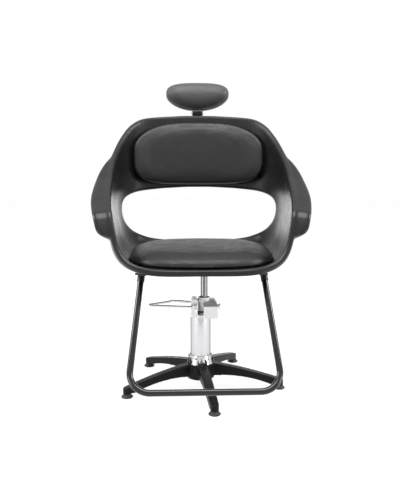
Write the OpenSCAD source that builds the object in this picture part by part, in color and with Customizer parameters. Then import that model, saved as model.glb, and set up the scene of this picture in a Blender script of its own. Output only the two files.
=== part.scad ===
/* [Shell] */
// Half of the shell's inside width at its widest
shell_half_w = 297; // [285:1:315]
// Height of the seat pan above the floor
pan_z = 449; // [440:1:470]
// Height from the seat pan to the top of the back
back_h = 461; // [430:1:490]
// Reach of the bowl in front of the swivel axis, were it not cut short at the lip
bowl_front = 392; // [380:1:405]
// Reach of the bowl behind the swivel axis at seat level
bowl_back = 240; // [225:1:255]
// How far the back leans rearward over its height
back_lean = 80; // [50:1:110]
// Wall thickness of the moulded shell
shell_wall = 21; // [16:1:24]
// Width of each armrest beyond the wall
arm_w = 46; // [36:1:60]
// Depth of each armrest where it meets the wall
arm_t = 40; // [30:1:46]
// Rounding of the shell's edges
rim_round = 6; // [3:0.5:8]

/* [Cushions] */
// Gap beside the seat cushion, from the line where the pan turns up into the walls
seat_side_gap = 10.35; // [8:0.05:27]
// Gap in front of the seat cushion, from the same line
seat_front_gap = 69.71; // [62:0.01:90]
// Gap behind the seat cushion, from the same line
seat_rear_gap = 22; // [16:1:30]
// Height of the seat cushion's side
seat_side = 14; // [10:1:20]
// Crown of the seat cushion above its side
seat_crown = 17; // [8:1:24]
// Gap beside the back cushion, to the width of the bowl at that height
back_side_gap = 42.75; // [37:0.05:80]
// Height of the back cushion
back_cushion_h = 222; // [200:1:226]
// Thickness of the back cushion's side
back_side = 10; // [8:1:16]
// Crown of the back cushion beyond its side
back_crown = 16; // [8:1:24]
// Thickness of the boards under the cushions
board_t = 8; // [6:0.5:10]

/* [Base] */
// Radius of the circle that the feet stand on
foot_ring_r = 268; // [250:1:290]
// Radius of the base's hub
hub_r = 47; // [46:0.5:52]
// Height of the hub's top above the floor
hub_top = 80; // [76:1:86]
// Width of a leg at the hub
leg_root_w = 37; // [32:1:44]
// Width of a leg at its foot
leg_tip_w = 27; // [24:1:32]
// Wall of the legs, which are open channels underneath
leg_wall = 5; // [4:0.5:7]
// Diameter of a glide where it stands on the floor
glide_d = 38; // [34:1:44]
// Height of a glide below the leg
glide_h = 14; // [11:1:18]
// Wall of the chromed skirt on the hub
skirt_wall = 2; // [1.5:0.1:2.5]

/* [Pump] */
// Outer diameter of the pump column
column_d = 68; // [64:0.5:71]
// Wall of the pump column
column_wall = 3; // [2:0.5:4]
// Length of piston rod that shows between the pump head and the socket at rest
bare_rod = 73; // [66:1:84]
// Height of the pump head above the column
head_h = 64; // [60:1:68]
// Diameter of the piston rod
rod_d = 24; // [20:0.5:26]
// Step of the piston beyond the rod
piston_step = 2.5; // [2:0.25:5]
// Gap between the lift cylinder and the column's wall on the right
lift_gap = 0.5; // [0.5:0.5:12]
// Wall of the lift cylinder
cylinder_wall = 4; // [3:0.25:4.5]
// Diameter of the pedal's round bar
pedal_bar_d = 8; // [6:0.5:9]
// Reach of the pedal from its axle
pedal_reach = 157; // [130:1:170]
// Diameter of the pedal axle
axle_d = 7; // [6:0.5:8]
// Diameter of the pump's small plunger
plunger_d = 8; // [6:0.5:9]

/* [Seat mounting] */
// Outer diameter of the socket under the seat
socket_d = 48; // [44:1:54]
// Thickness of the socket's closed top
socket_top_t = 6.9; // [4:0.1:10]
// Side of the square steel plate under the seat
plate_w = 188; // [170:1:196]
// Thickness of the steel plates under the shell
plate_t = 5; // [4:0.5:6]

/* [Footrest] */
// Diameter of the footrest tube
foot_tube_d = 19; // [17:0.5:21]
// Wall of the footrest tube
foot_tube_wall = 1.5; // [1:0.1:2]
// Height of the foot bar's centre above the floor
foot_bar_z = 130; // [118:1:142]
// Distance of the foot bar's centre in front of the swivel axis
foot_bar_y = 420; // [400:1:440]
// Half of the distance between the tubes where they leave the seat
foot_top_half_w = 186; // [178:1:190]
// Half of the distance between the tubes at the foot bar, were its corners sharp
foot_bar_half_w = 217; // [205:1:228]
// Bend radius of the footrest's corners, to the tube's centre
foot_bend_r = 58; // [45:1:70]

/* [Headrest] */
// Half width of the headrest pad
pad_half_w = 117; // [100:1:125]
// Height of the headrest pad
pad_h = 99; // [90:1:106]
// Thickness of the headrest pad
pad_t = 44; // [36:1:50]
// Width of the flat bar that carries the headrest
bar_w = 34; // [28:1:38]
// Thickness of that bar
bar_t = 8; // [6:0.5:9]
// Diameter of the pin that the headrest tilts on
tilt_pin_d = 8; // [6:0.5:9]

/* [Hidden] */
$fn = 48;

// Gap between separate pieces that sit against each other
seat_gap = 0.3;
// Gap under the cushions' boards, which lie on a curved wall
soft_gap = 0.8;
// Clearance on the radius where a pin or rod runs in its bore
run_gap = 0.05;
// Overrun of every cut
over = 1;
// The frame's origin is on the floor under the middle of the chair, in front of the column
column_y = 40;
module placed() {
    translate([0, column_y, 0]) children();
}
// Heights from the shell's underside down to the column, each piece carried by the next
shell_under = pan_z - shell_wall;
plate_top = shell_under - soft_gap;
plate_low = plate_top - plate_t;
socket_ceiling = plate_low - socket_top_t;
washer_t = 3;
rod_top = socket_ceiling - seat_gap - washer_t;
socket_depth = 33;
socket_low = rod_top - socket_depth;
head_top = socket_low - bare_rod;
column_top = head_top - head_h;
// The lift cylinder is as wide as its piston asks, and stands off the column's axis to the right
cylinder_d = rod_d + 2 * (piston_step + cylinder_wall);
lift_x = column_d / 2 - column_wall - cylinder_d / 2 - lift_gap;

// A row between two rows
function blend(a, b, share) = a + (b - a) * share;
// Smooth curve through the rows of a table, at a place counted in rows
function along(rows, at) =
    let (last = len(rows) - 1,
         place = min(max(at, 0), last),
         i = min(floor(place), last - 1),
         f = place - i,
         b = rows[i],
         c = rows[i + 1],
         a = i > 0 ? rows[i - 1] : 2 * b - c,
         d = i + 2 <= last ? rows[i + 2] : 2 * c - b)
    (2 * b + (c - a) * f + (2 * a - 5 * b + 4 * c - d) * f * f + (3 * b - a - 3 * c + d) * f * f * f) / 2;
// The same for the edge of a form that is mirrored left to right, so that it crosses the middle square on
function along_edge(rows, at) =
    let (last = len(rows) - 1,
         place = min(max(at, 0), last),
         i = min(floor(place), last - 1),
         f = place - i,
         b = rows[i],
         c = rows[i + 1],
         a = i > 0 ? rows[i - 1] : [-rows[1][0], rows[1][1]],
         d = i + 2 <= last ? rows[i + 2] : [-rows[last - 1][0], rows[last - 1][1]])
    (2 * b + (c - a) * f + (2 * a - 5 * b + 4 * c - d) * f * f + (3 * b - a - 3 * c + d) * f * f * f) / 2;

// The bowl that the shell is cut from: half width and height, from the middle of the pan up the wall
bowl_profile_shares = [[0, 0], [0.35, 0], [0.70, 0], [0.816, 0.022], [0.881, 0.08], [0.92, 0.19],
    [0.948, 0.36], [0.962, 0.56], [0.952, 0.78], [0.925, 1.0], [0.90, 1.2]];
// Roundness of the bowl in plan: 2 is an ellipse and more is squarer
bowl_square_share = 3;
// A point of the bowl's inside, from its place on a flat map whose middle is the middle of the pan
function bowl(map) =
    let (t = max(norm(map), map_step_share / 9),
         s = map[0] / t,
         c = map[1] / t,
         row = along(bowl_profile_shares, t),
         k = pow(pow(abs(s), bowl_square_share) + pow(abs(c), bowl_square_share), -1 / bowl_square_share),
         reach = c > 0 ? bowl_back + back_lean * row[1] : bowl_front)
    [shell_half_w * row[0] * k * s, reach * row[0] * k * c, pan_z + back_h * row[1]];
// Places on the map are given by turn from straight ahead and by row of the profile
function on_map(place) = [place[1] * sin(place[0]), -place[1] * cos(place[0])];
// Edge of the shell from the middle of the lip round one side to the top: turn, row and armrest width
rim_shares = [[0, 2.05, 0], [14, 2.1, 0], [27, 2.3, 0], [38, 2.72, 0], [46, 3.28, 0], [51, 3.85, 0],
    [54.3, 4.33, 0], [56.9, 4.79, 0], [58.3, 5.08, 0.03], [59.1, 5.26, 0.6], [59.9, 5.43, 0.85],
    [61.2, 5.65, 0.91], [62.9, 5.87, 0.93], [66, 6.05, 0.96], [75, 6.43, 1], [84, 6.79, 0.87],
    [93.5, 7.13, 0.68], [103, 7.43, 0.41], [111.5, 7.71, 0.05], [119, 8.04, 0], [126, 8.39, 0],
    [133, 8.73, 0], [142, 8.96, 0], [154, 9.04, 0], [167, 9.08, 0], [180, 9.09, 0]];
// Edge of the opening in the lower back, row for row: turn and row, from its bottom to its top
opening_shares = [[180, 3.6], [170, 3.61], [160, 3.68], [151, 3.8], [144, 3.98], [138, 4.23],
    [132.5, 4.5], [128, 4.76], [125.3, 4.95], [123.2, 5.1], [121.6, 5.25],
    [120, 5.45], [119.2, 5.62], [119.2, 5.78], [120, 5.93], [122, 6.05],
    [125, 6.15], [129, 6.23], [133.5, 6.3], [138.5, 6.36], [144, 6.4],
    [150, 6.43], [156.5, 6.46], [164, 6.48], [172, 6.5], [180, 6.5]];
rim_map = [for (p = rim_shares) on_map(p)];
opening_map = [for (p = opening_shares) on_map(p)];
arm_shares = [for (p = rim_shares) [p[2]]];
rim_last = len(rim_shares) - 1;
// Steps of the skin from the opening to the edge, and rings of it for each row of the tables
shell_steps = 7;
rings_per_row = 2;
// A place on the map: row is counted along the edge, and out runs from the opening to the edge
function shell_map(row, out) = blend(along_edge(opening_map, row), along_edge(rim_map, row), out);
// Outward direction of the bowl at a place on the map
map_step_share = 0.02;
function unit(v) = v / norm(v);
function bowl_out(map) =
    let (across = bowl(map + [map_step_share, 0]) - bowl(map - [map_step_share, 0]),
         back = bowl(map + [0, map_step_share]) - bowl(map - [0, map_step_share]))
    unit(cross(back, across));
function shell_at(row, out, depth) =
    let (map = shell_map(row, out))
    bowl(map) + bowl_out(map) * depth;
// Section of the edge with its armrest: outward from the wall's inside, and down from the edge
arm_step = 3.5;
function shell_edge(row) =
    let (share = max(along(arm_shares, row)[0], 0),
         w = arm_w * share,
         g = min(share / 0.3, 1),
         r = rim_round)
    [[0, r * 2.2], [r * 0.3, r * 0.4], [r * 1.3, 0], [shell_wall - r * 1.1, 0],
     [shell_wall - r * 0.2 * (1 - g), blend(r * 0.6, arm_step, g)],
     [shell_wall + w * 0.5, blend(r * 1.4, arm_step * 0.5, g)],
     [shell_wall + w - r * g, blend(r * 2, arm_step, g)],
     [shell_wall + w, blend(r * 2.5, arm_step + r * 1.4, g)],
     [shell_wall + w * 0.65, blend(r * 3, arm_t * 0.72, g)],
     [shell_wall, blend(r * 3.6, arm_t + r, g)]];
function shell_section(row) =
    let (edge = shell_edge(row),
         at = shell_at(row, 1, 0),
         out = bowl_out(shell_map(row, 1)),
         up = unit(at - shell_at(row, 0.97, 0)),
         span = norm(shell_at(row, 0, 0) - at),
         first = edge[0][1] / span,
         last = edge[len(edge) - 1][1] / span)
    concat(
        [for (j = [0:shell_steps - 1]) shell_at(row, (1 - first) * j / shell_steps, 0)],
        [for (q = edge) at + out * q[0] - up * q[1]],
        [for (j = [shell_steps - 1:-1:0]) shell_at(row, (1 - last) * j / shell_steps, shell_wall)]);
// Faces of a closed skin made of rings of points that go round a form and meet again
function ring_faces(rings, points) =
    [for (i = [0:rings - 1]) for (j = [0:points - 1])
        let (n = (i + 1) % rings, m = (j + 1) % points)
        each [[i * points + j, n * points + m, i * points + m],
              [i * points + j, n * points + j, n * points + m]]];

module seat_shell() {
    count = rim_last * rings_per_row;
    half = [for (i = [0:count]) shell_section(i / rings_per_row)];
    other = [for (i = [count - 1:-1:1]) [for (p = half[i]) [-p[0], p[1], p[2]]]];
    rings = concat(half, other);
    color([0.24, 0.24, 0.25]) placed()
        polyhedron([for (r = rings) each r], ring_faces(len(rings), len(rings[0])), 4);
}

// Height of the profile on the bowl's wall as a share, from the row at which it is reached
function row_of_height(share, low = 2, high = 10, tries = 16) =
    tries == 0 ? (low + high) / 2
    : let (mid = (low + high) / 2)
      along(bowl_profile_shares, mid)[1] < share ? row_of_height(share, mid, high, tries - 1)
                                                 : row_of_height(share, low, mid, tries - 1);
// A point on the inside of the back, from its place across and its height
function back_at(x, z) =
    let (share = (z - pan_z) / back_h,
         r = along(bowl_profile_shares, row_of_height(share))[0],
         across = min(abs(x) / (shell_half_w * r), 1),
         deep = pow(1 - pow(across, bowl_square_share), 1 / bowl_square_share))
    [x, (bowl_back + back_lean * share) * r * deep, z];
// Direction from the inside of the back towards the sitter
probe_share = 0.01;
function back_in(x, z) =
    let (d = probe_share * back_h,
         across = back_at(x + d, z) - back_at(x - d, z),
         up = back_at(x, z + d) - back_at(x, z - d))
    unit(cross(up, across)) * -1;

// Outline of a rounded form about its middle, with its own roundness above and below
function outline(half_w, up, down, top_share, low_share, count) =
    [for (i = [0:count - 1])
        let (a = 360 * i / count,
             n = sin(a) >= 0 ? top_share : low_share,
             h = sin(a) >= 0 ? up : down)
        [half_w * sign(cos(a)) * pow(abs(cos(a)), 2 / n), h * sign(sin(a)) * pow(abs(sin(a)), 2 / n)]];
// Faces of a form made of rings between a first and a last point. From the turned ring on they are
// split along the other diagonal, so that two forms lie close on each other over a curved wall
function capped_faces(rings, count, turned) =
    let (last = rings * count + 1)
    concat(
        [for (j = [0:count - 1]) [0, 1 + j, 1 + (j + 1) % count]],
        [for (i = [0:rings - 2]) for (j = [0:count - 1])
            let (m = (j + 1) % count, a = 1 + i * count, b = a + count)
            each (is_undef(turned) || i < turned ? [[a + j, b + m, a + m], [a + j, b + j, b + m]]
                                                 : [[a + j, b + j, a + m], [a + m, b + j, b + m]])],
        [for (j = [0:count - 1])
            [last, 1 + (rings - 1) * count + (j + 1) % count, 1 + (rings - 1) * count + j]]);
// Cushion rings from underneath over the drawn-in side to the crown: size, share of side, share of crown
cushion_shares = [[0.9, 0, 0], [0.965, 0.05, 0], [0.99, 0.3, 0], [1, 0.6, 0], [0.99, 0.9, 0.06],
    [0.955, 1, 0.26], [0.89, 1, 0.5], [0.78, 1, 0.71], [0.6, 1, 0.88], [0.35, 1, 0.97]];
board_share = 0.86;
board_ring_shares = [0.45, 0.8, 1];
outline_count = 48;

// Shapes of the cushions' outlines
seat_round_share = 3.1;
back_top_round_share = 2.5;
back_low_round_share = 3.6;
// Rows of the bowl's profile where the pan turns up, and where the bowl is widest behind the back cushion
pan_edge_share = bowl_profile_shares[3][0];
back_edge_share = bowl_profile_shares[8][0];
// Middle of the back cushion above the pan
back_cushion_z_share = 0.72;
seat_cushion_half_w = shell_half_w * pan_edge_share - seat_side_gap;
seat_cushion_l = (bowl_front + bowl_back) * pan_edge_share - seat_front_gap - seat_rear_gap;
seat_cushion_y = bowl_back * pan_edge_share - seat_rear_gap - seat_cushion_l / 2;
back_cushion_half_w = shell_half_w * back_edge_share - back_side_gap;
back_cushion_z = pan_z + back_h * back_cushion_z_share;
seat_board_z = pan_z + seat_gap;
seat_cushion_z = seat_board_z + board_t;
function seat_ring(size, z) =
    [for (p = outline(seat_cushion_half_w, seat_cushion_l / 2, seat_cushion_l / 2, seat_round_share,
        seat_round_share, outline_count)) [p[0] * size, seat_cushion_y + p[1] * size, z]];
function back_ring(size, depth) =
    [for (p = outline(back_cushion_half_w, back_cushion_h / 2, back_cushion_h / 2, back_top_round_share,
        back_low_round_share, outline_count))
        let (x = p[0] * size, z = back_cushion_z + p[1] * size)
        back_at(x, z) + back_in(x, z) * depth];
back_board_depth = soft_gap;
back_cushion_depth = back_board_depth + board_t + seat_gap;

module form(rings, first, last, turned) {
    polyhedron(concat([first], [for (r = rings) each r], [last]),
        capped_faces(len(rings), len(rings[0]), turned), 4);
}

module seat_board() {
    color([0.62, 0.47, 0.31]) placed() translate([0, seat_cushion_y, seat_board_z])
        linear_extrude(board_t)
            polygon([for (p = outline(seat_cushion_half_w, seat_cushion_l / 2, seat_cushion_l / 2,
                seat_round_share, seat_round_share, outline_count)) p * board_share]);
}

module seat_cushion() {
    color([0.12, 0.12, 0.13]) placed()
        form([for (c = cushion_shares)
                seat_ring(c[0], seat_cushion_z + seat_side * c[1] + seat_crown * c[2])],
            [0, seat_cushion_y, seat_cushion_z],
            [0, seat_cushion_y, seat_cushion_z + seat_side + seat_crown]);
}

module back_board() {
    color([0.62, 0.47, 0.31]) placed()
        form(concat([for (k = board_ring_shares) back_ring(k * board_share, back_board_depth)],
                    [for (i = [len(board_ring_shares) - 1:-1:0])
                        back_ring(board_ring_shares[i] * board_share, back_board_depth + board_t)]),
            back_at(0, back_cushion_z) + back_in(0, back_cushion_z) * back_board_depth,
            back_at(0, back_cushion_z) + back_in(0, back_cushion_z) * (back_board_depth + board_t),
            len(board_ring_shares));
}

module back_cushion() {
    color([0.11, 0.11, 0.12]) placed()
        form(concat([for (k = board_ring_shares) back_ring(k * board_share, back_cushion_depth)],
                    [for (c = cushion_shares)
                        back_ring(c[0], back_cushion_depth + back_side * c[1] + back_crown * c[2])]),
            back_at(0, back_cushion_z) + back_in(0, back_cushion_z) * back_cushion_depth,
            back_at(0, back_cushion_z)
                + back_in(0, back_cushion_z) * (back_cushion_depth + back_side + back_crown));
}

// Base: legs are arches between a top arc and an under arc, seen from the side
leg_top_at_hub = [hub_r, hub_top];
leg_end_r = foot_ring_r + leg_tip_w / 2;
leg_tip_h = 17;
leg_tip_wall = 3;
leg_tip_top = glide_h + leg_tip_h;
leg_top_bow = 4;
leg_arch_r = 412;
leg_arch_at = 100;
leg_arch_top = 40.5;
leg_arch_end = foot_ring_r - leg_tip_w / 2 - leg_tip_wall;
leg_draft = 4;
hub_low = 27;
hub_floor_t = 7;
hub_floor = hub_low + hub_floor_t;
stem_d = 10;
stem_up = 11;
function arc_r(p, q, bow) = let (c = norm(q - p)) (c * c / 4 + bow * bow) / (2 * bow);
function arc_centre(p, q, bow) =
    let (d = (q - p) / norm(q - p), r = arc_r(p, q, bow))
    (p + q) / 2 + [d[1], -d[0]] * (r - bow);
module under_top_arc(inset) {
    p = leg_top_at_hub;
    q = [leg_end_r, leg_tip_top];
    translate(arc_centre(p, q, leg_top_bow)) circle(arc_r(p, q, leg_top_bow) - inset, $fn = 180);
}
module leg_side() {
    difference() {
        intersection() {
            under_top_arc(0);
            translate([0, glide_h]) square([leg_end_r, hub_top]);
        }
        intersection() {
            translate([leg_arch_at, leg_arch_top - leg_arch_r]) circle(leg_arch_r, $fn = 240);
            square([leg_arch_end, hub_top]);
        }
    }
}
module leg_plan(inset) {
    polygon([[0, -leg_root_w / 2 + inset], [foot_ring_r, -leg_tip_w / 2 + inset],
        [foot_ring_r, leg_tip_w / 2 - inset], [0, leg_root_w / 2 - inset]]);
    if (inset == 0) translate([foot_ring_r, 0]) circle(leg_tip_w / 2);
}
module leg() {
    half = leg_root_w;
    difference() {
        intersection() {
            linear_extrude(hub_top + over) leg_plan(0);
            translate([0, half, 0]) rotate([90, 0, 0]) linear_extrude(2 * half) leg_side();
            rotate([90, 0, 90]) linear_extrude(leg_end_r)
                polygon([[-leg_root_w / 2, 0], [leg_root_w / 2, 0],
                    [leg_root_w / 2 - leg_draft, hub_top + over], [leg_draft - leg_root_w / 2, hub_top + over]]);
        }
        intersection() {
            translate([hub_r + leg_wall, -half, 0])
                cube([leg_arch_end - hub_r - 2 * leg_wall, 2 * half, hub_top]);
            linear_extrude(hub_top) leg_plan(leg_wall);
            translate([0, half, 0]) rotate([90, 0, 0]) linear_extrude(2 * half) under_top_arc(leg_wall);
        }
        translate([foot_ring_r, 0, glide_h - over])
            cylinder(d = stem_d + 2 * run_gap, h = stem_up + 2 * over);
    }
}
// Turns from straight ahead to the legs
function leg_turn(i) = -90 + front_leg_turn + i * 360 / legs;
module at_legs() {
    for (i = [0:legs - 1]) rotate([0, 0, leg_turn(i)]) children();
}
module between_legs() {
    for (i = [0:legs - 1]) rotate([0, 0, leg_turn(i) + 180 / legs]) children();
}
// Number of legs
legs = 5;
// Angle of the front leg from straight ahead
front_leg_turn = 7.2;
column_bolt_ring = 22;
column_bolt_d = 6;
column_bolt_head_d = 10;
column_bolt_head_h = 4;
column_bolt_in = 8;
column_bolts_count = 4;
module at_column_bolts() {
    for (i = [0:column_bolts_count - 1])
        rotate([0, 0, 360 / column_bolts_count * i]) translate([column_bolt_ring, 0, 0]) children();
}

module star_base() {
    color([0.09, 0.085, 0.08]) placed() difference() {
        union() {
            translate([0, 0, hub_low]) cylinder(r = hub_r, h = hub_top - hub_low);
            at_legs() leg();
        }
        translate([0, 0, hub_floor]) cylinder(d = column_d + 2 * run_gap, h = hub_top);
        at_column_bolts() translate([0, 0, hub_low - over])
            cylinder(d = column_bolt_d + 2 * seat_gap, h = hub_floor);
    }
}

module glide_stems() {
    color("silver") placed() at_legs() translate([foot_ring_r, 0, 0])
        translate([0, 0, glide_low]) cylinder(d = stem_d, h = glide_h + stem_up - glide_low);
}
glide_low = 4;
glide_edge = 1.5;

module glide_pads() {
    r = glide_d / 2;
    color([0.05, 0.05, 0.05]) placed() at_legs() translate([foot_ring_r, 0, 0])
        rotate_extrude() polygon([[0, 0], [r - glide_edge, 0], [r, glide_edge], [r, glide_h * 0.25],
            [r * 0.84, glide_h * 0.46], [r * 0.72, glide_h * 0.64], [r * 0.68, glide_h - seat_gap],
            [stem_d / 2 + run_gap, glide_h - seat_gap], [stem_d / 2 + run_gap, glide_low - run_gap],
            [0, glide_low - run_gap]]);
}

// Chromed skirt over the joint of column and hub
skirt_h = 29;
skirt_clear = 0.5;
skirt_inset = 1;
skirt_top_r = column_d / 2 + skirt_wall + skirt_clear;
skirt_low_r = hub_r - skirt_inset;
skirt_arch_r = 16.5;
skirt_arch_up = 6;
skirt_screw_d = 4;
skirt_head_d = 9;
skirt_head_gap = 1.2;
skirt_screw_z = hub_top + skirt_h * 0.7;
module base_skirt() {
    low = hub_top + seat_gap;
    top = hub_top + skirt_h;
    color([0.86, 0.86, 0.87]) placed() difference() {
        rotate_extrude() polygon([[skirt_low_r - skirt_wall, low], [skirt_low_r, low], [skirt_top_r, top],
            [column_d / 2 + seat_gap, top], [column_d / 2 + seat_gap, top - skirt_wall],
            [skirt_top_r - skirt_wall, top - skirt_wall]]);
        at_legs() translate([0, 0, hub_top + skirt_arch_up]) rotate([0, 90, 0])
            cylinder(r = skirt_arch_r, h = hub_r + over);
        between_legs() translate([0, 0, skirt_screw_z]) rotate([0, 90, 0])
            cylinder(d = skirt_screw_d + 2 * run_gap, h = hub_r + over);
    }
}

// Domed head of a screw
module dome_head(d) {
    rotate_extrude() intersection() {
        translate([0, -d * 0.22]) circle(d * 0.555);
        square([d / 2, d / 2]);
    }
}
module skirt_screws() {
    out = blend(skirt_low_r, skirt_top_r, 0.62) + skirt_head_gap;
    color("silver") placed() between_legs() translate([0, 0, skirt_screw_z]) rotate([0, 90, 0]) {
        translate([0, 0, column_d / 2 - column_wall])
            cylinder(d = skirt_screw_d, h = out + over - column_d / 2 + column_wall);
        translate([0, 0, out]) dome_head(skirt_head_d);
    }
}

module column_bolts() {
    color("silver") placed() at_column_bolts() {
        translate([0, 0, hub_low - column_bolt_head_h])
            cylinder(d = column_bolt_head_d, h = column_bolt_head_h - run_gap);
        translate([0, 0, hub_low - over])
            cylinder(d = column_bolt_d, h = hub_floor - hub_low + column_bolt_in + over);
    }
}

column_foot_h = 12;
module column_foot() {
    color([0.5, 0.5, 0.52]) placed() translate([0, 0, hub_floor]) difference() {
        cylinder(d = column_d - 2 * column_wall - 2 * run_gap, h = column_foot_h);
        at_column_bolts() translate([0, 0, -over])
            cylinder(d = column_bolt_d + 2 * run_gap, h = column_bolt_in + 2 * over);
    }
}

module column_tube() {
    color([0.84, 0.84, 0.85]) placed() difference() {
        translate([0, 0, hub_floor]) cylinder(d = column_d, h = column_top - hub_floor);
        translate([0, 0, hub_floor - over]) cylinder(d = column_d - 2 * column_wall, h = column_top);
        between_legs() translate([0, 0, skirt_screw_z]) rotate([0, 90, 0])
            cylinder(d = skirt_screw_d + 2 * run_gap, h = column_d);
    }
}

cylinder_low = hub_floor + column_foot_h;
spigot_h = 8;
module lift_cylinder() {
    color([0.6, 0.6, 0.62]) placed() translate([lift_x, 0, cylinder_low]) difference() {
        cylinder(d = cylinder_d, h = column_top - spigot_h - seat_gap - cylinder_low);
        translate([0, 0, -over]) cylinder(d = cylinder_d - 2 * cylinder_wall, h = column_top);
    }
}

// Pump head: a cheek for the pedal on the left, a valve box on the right and a boss for the rod
cheek_x = -33;
cheek_w = 23;
cheek_front = -32;
cheek_back = 22;
box_x = 9;
box_w = 48;
box_back = 18;
gland_h = 7;
gland_wall = 4;
wiper_low = 3;
wiper_h = 5;
wiper_wall = 4;
gland_d = rod_d + 2 * (wiper_wall + gland_wall);
boss_wall = 3;
boss_d = gland_d + 2 * boss_wall;
boss_top = head_top - gland_h;
box_top = head_top - gland_h;
axle_x = cheek_x + cheek_w * 0.62;
axle_z = column_top + head_h * 0.61;
plunger_out = 6.5;
plunger_y = cheek_front - plunger_out;
box_front_wall = 9.5;
box_front = plunger_y - box_front_wall;
plunger_drop = 19;
plunger_in = 30;
plunger_travel = 8;
plunger_head_out = 1.5;
plunger_head_h = 3;
plunger_z = axle_z - plunger_drop;
plunger_end = box_x + plunger_in;
// How far the box's top slopes away at the front and on its right side
front_slope_h = 23;
front_slope_run = 36;
side_slope_h = 20;
side_slope_run = 10;
cheek_drop = 1;
collar_wall = 1;
collar_h = 8;
module pump_head() {
    color([0.82, 0.82, 0.83]) placed() difference() {
        union() {
            translate([0, 0, column_top - spigot_h])
                cylinder(d = column_d - 2 * column_wall - 2 * run_gap, h = spigot_h + over);
            translate([0, 0, column_top]) cylinder(d = column_d + 2 * collar_wall, h = collar_h);
            translate([lift_x, 0, column_top]) cylinder(d = boss_d, h = boss_top - column_top);
            translate([0, cheek_back, 0]) rotate([90, 0, 0]) linear_extrude(cheek_back - cheek_front) {
                translate([cheek_x, column_top]) square([cheek_w, head_h - cheek_w / 2 - cheek_drop]);
                translate([cheek_x + cheek_w / 2, head_top - cheek_w / 2 - cheek_drop]) circle(cheek_w / 2);
            }
            intersection() {
                translate([box_x, 0, 0]) rotate([90, 0, 90]) linear_extrude(box_w)
                    polygon([[box_front, column_top], [box_front, head_top - front_slope_h],
                        [box_front + front_slope_run, box_top], [box_back, box_top], [box_back, column_top]]);
                translate([0, box_back, 0]) rotate([90, 0, 0]) linear_extrude(box_back - box_front)
                    polygon([[box_x, column_top], [box_x + box_w, column_top],
                        [box_x + box_w, head_top - side_slope_h], [box_x + box_w - side_slope_run, box_top],
                        [box_x, box_top]]);
            }
        }
        translate([lift_x, 0, column_top - spigot_h - over])
            cylinder(d = rod_d + 2 * run_gap, h = head_h + spigot_h + 2 * over);
        translate([axle_x, cheek_back + over, axle_z]) rotate([90, 0, 0])
            cylinder(d = axle_d + 2 * run_gap, h = cheek_back - cheek_front + 2 * over);
        translate([box_x - over, plunger_y, plunger_z]) rotate([0, 90, 0])
            cylinder(d = plunger_d + 2 * run_gap, h = plunger_end + plunger_travel - box_x);
        translate([box_x + box_w + over, plug_y, plug_z]) rotate([0, -90, 0])
            cylinder(d = plug_d + 2 * run_gap, h = plug_in + over);
    }
}
plug_y = -32;
plug_z = axle_z;
plug_d = 8;
plug_in = 14;

module rod_gland() {
    color([0.8, 0.8, 0.81]) placed() translate([lift_x, 0, boss_top]) difference() {
        cylinder(d = gland_d, h = gland_h);
        translate([0, 0, -over]) cylinder(d = rod_d + 2 * run_gap, h = gland_h + 2 * over);
        translate([0, 0, wiper_low]) cylinder(d = rod_d + 2 * wiper_wall, h = gland_h);
    }
}
module rod_wiper() {
    color([0.05, 0.05, 0.05]) placed() translate([lift_x, 0, boss_top + wiper_low]) difference() {
        cylinder(d = rod_d + 2 * wiper_wall - 2 * run_gap, h = wiper_h);
        translate([0, 0, -over]) cylinder(d = rod_d + 2 * run_gap, h = wiper_h + 2 * over);
    }
}

// Section of the plug's cap: share of its radius, share of its height
plug_cap_shares = [[0, 0], [0.67, 0], [0.67, 0.21], [0.94, 0.32], [1, 0.47], [1, 0.79],
    [0.83, 0.95], [0, 1]];
plug_cap_r = 9;
plug_cap_h = 9.5;
module valve_plug() {
    color([0.8, 0.8, 0.81]) placed() translate([box_x + box_w, plug_y, plug_z]) rotate([0, 90, 0]) {
        translate([0, 0, -plug_in + run_gap]) cylinder(d = plug_d, h = plug_in + over);
        translate([0, 0, seat_gap]) rotate_extrude()
            polygon([for (c = plug_cap_shares) [plug_cap_r * c[0], plug_cap_h * c[1]]]);
    }
}

// Pedal: two legs of round bar on one axle, meeting at a rounded tip
cam_t = 8;
eye_t = pedal_bar_d;
front_eye_y = cheek_front - seat_gap - cam_t - eye_t / 2;
rear_eye_y = cheek_back + seat_gap + eye_t / 2;
eye_wall = 5;
eye_d = axle_d + 2 * eye_wall;
cap_t = 4;
cap_wall = 2.5;
module pedal_axle() {
    low = front_eye_y - eye_t / 2 - seat_gap - cap_t;
    high = rear_eye_y + eye_t / 2 + seat_gap + cap_t;
    color("silver") placed() translate([axle_x, high, axle_z]) rotate([90, 0, 0])
        cylinder(d = axle_d, h = high - low);
}
module axle_caps() {
    for (y = [front_eye_y - eye_t / 2 - seat_gap, rear_eye_y + eye_t / 2 + seat_gap + cap_t])
        color("silver") placed() translate([axle_x, y, axle_z]) rotate([90, 0, 0]) difference() {
            cylinder(d = axle_d + 2 * cap_wall, h = cap_t);
            translate([0, 0, -over]) cylinder(d = axle_d + 2 * run_gap, h = cap_t + 2 * over);
        }
}
// Puts a piece at p, turned so that its top points to q
module towards(p, q) {
    v = q - p;
    translate(p) rotate([0, acos(v[2] / norm(v)), atan2(v[1], v[0])]) children();
}
module bar_between(p, q, d) {
    towards(p, q) cylinder(d = d, h = norm(q - p));
}
pedal_tip_y_share = 0.47;
pedal_tip_r = 9;
pedal_tip = [axle_x - pedal_reach + pedal_tip_r, blend(front_eye_y, rear_eye_y, pedal_tip_y_share)];
pedal_start_x = axle_x - eye_d / 2 + pedal_bar_d / 4;
pedal_kink_z = 9;
knuckle_d = pedal_bar_d * 1.05;
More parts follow.
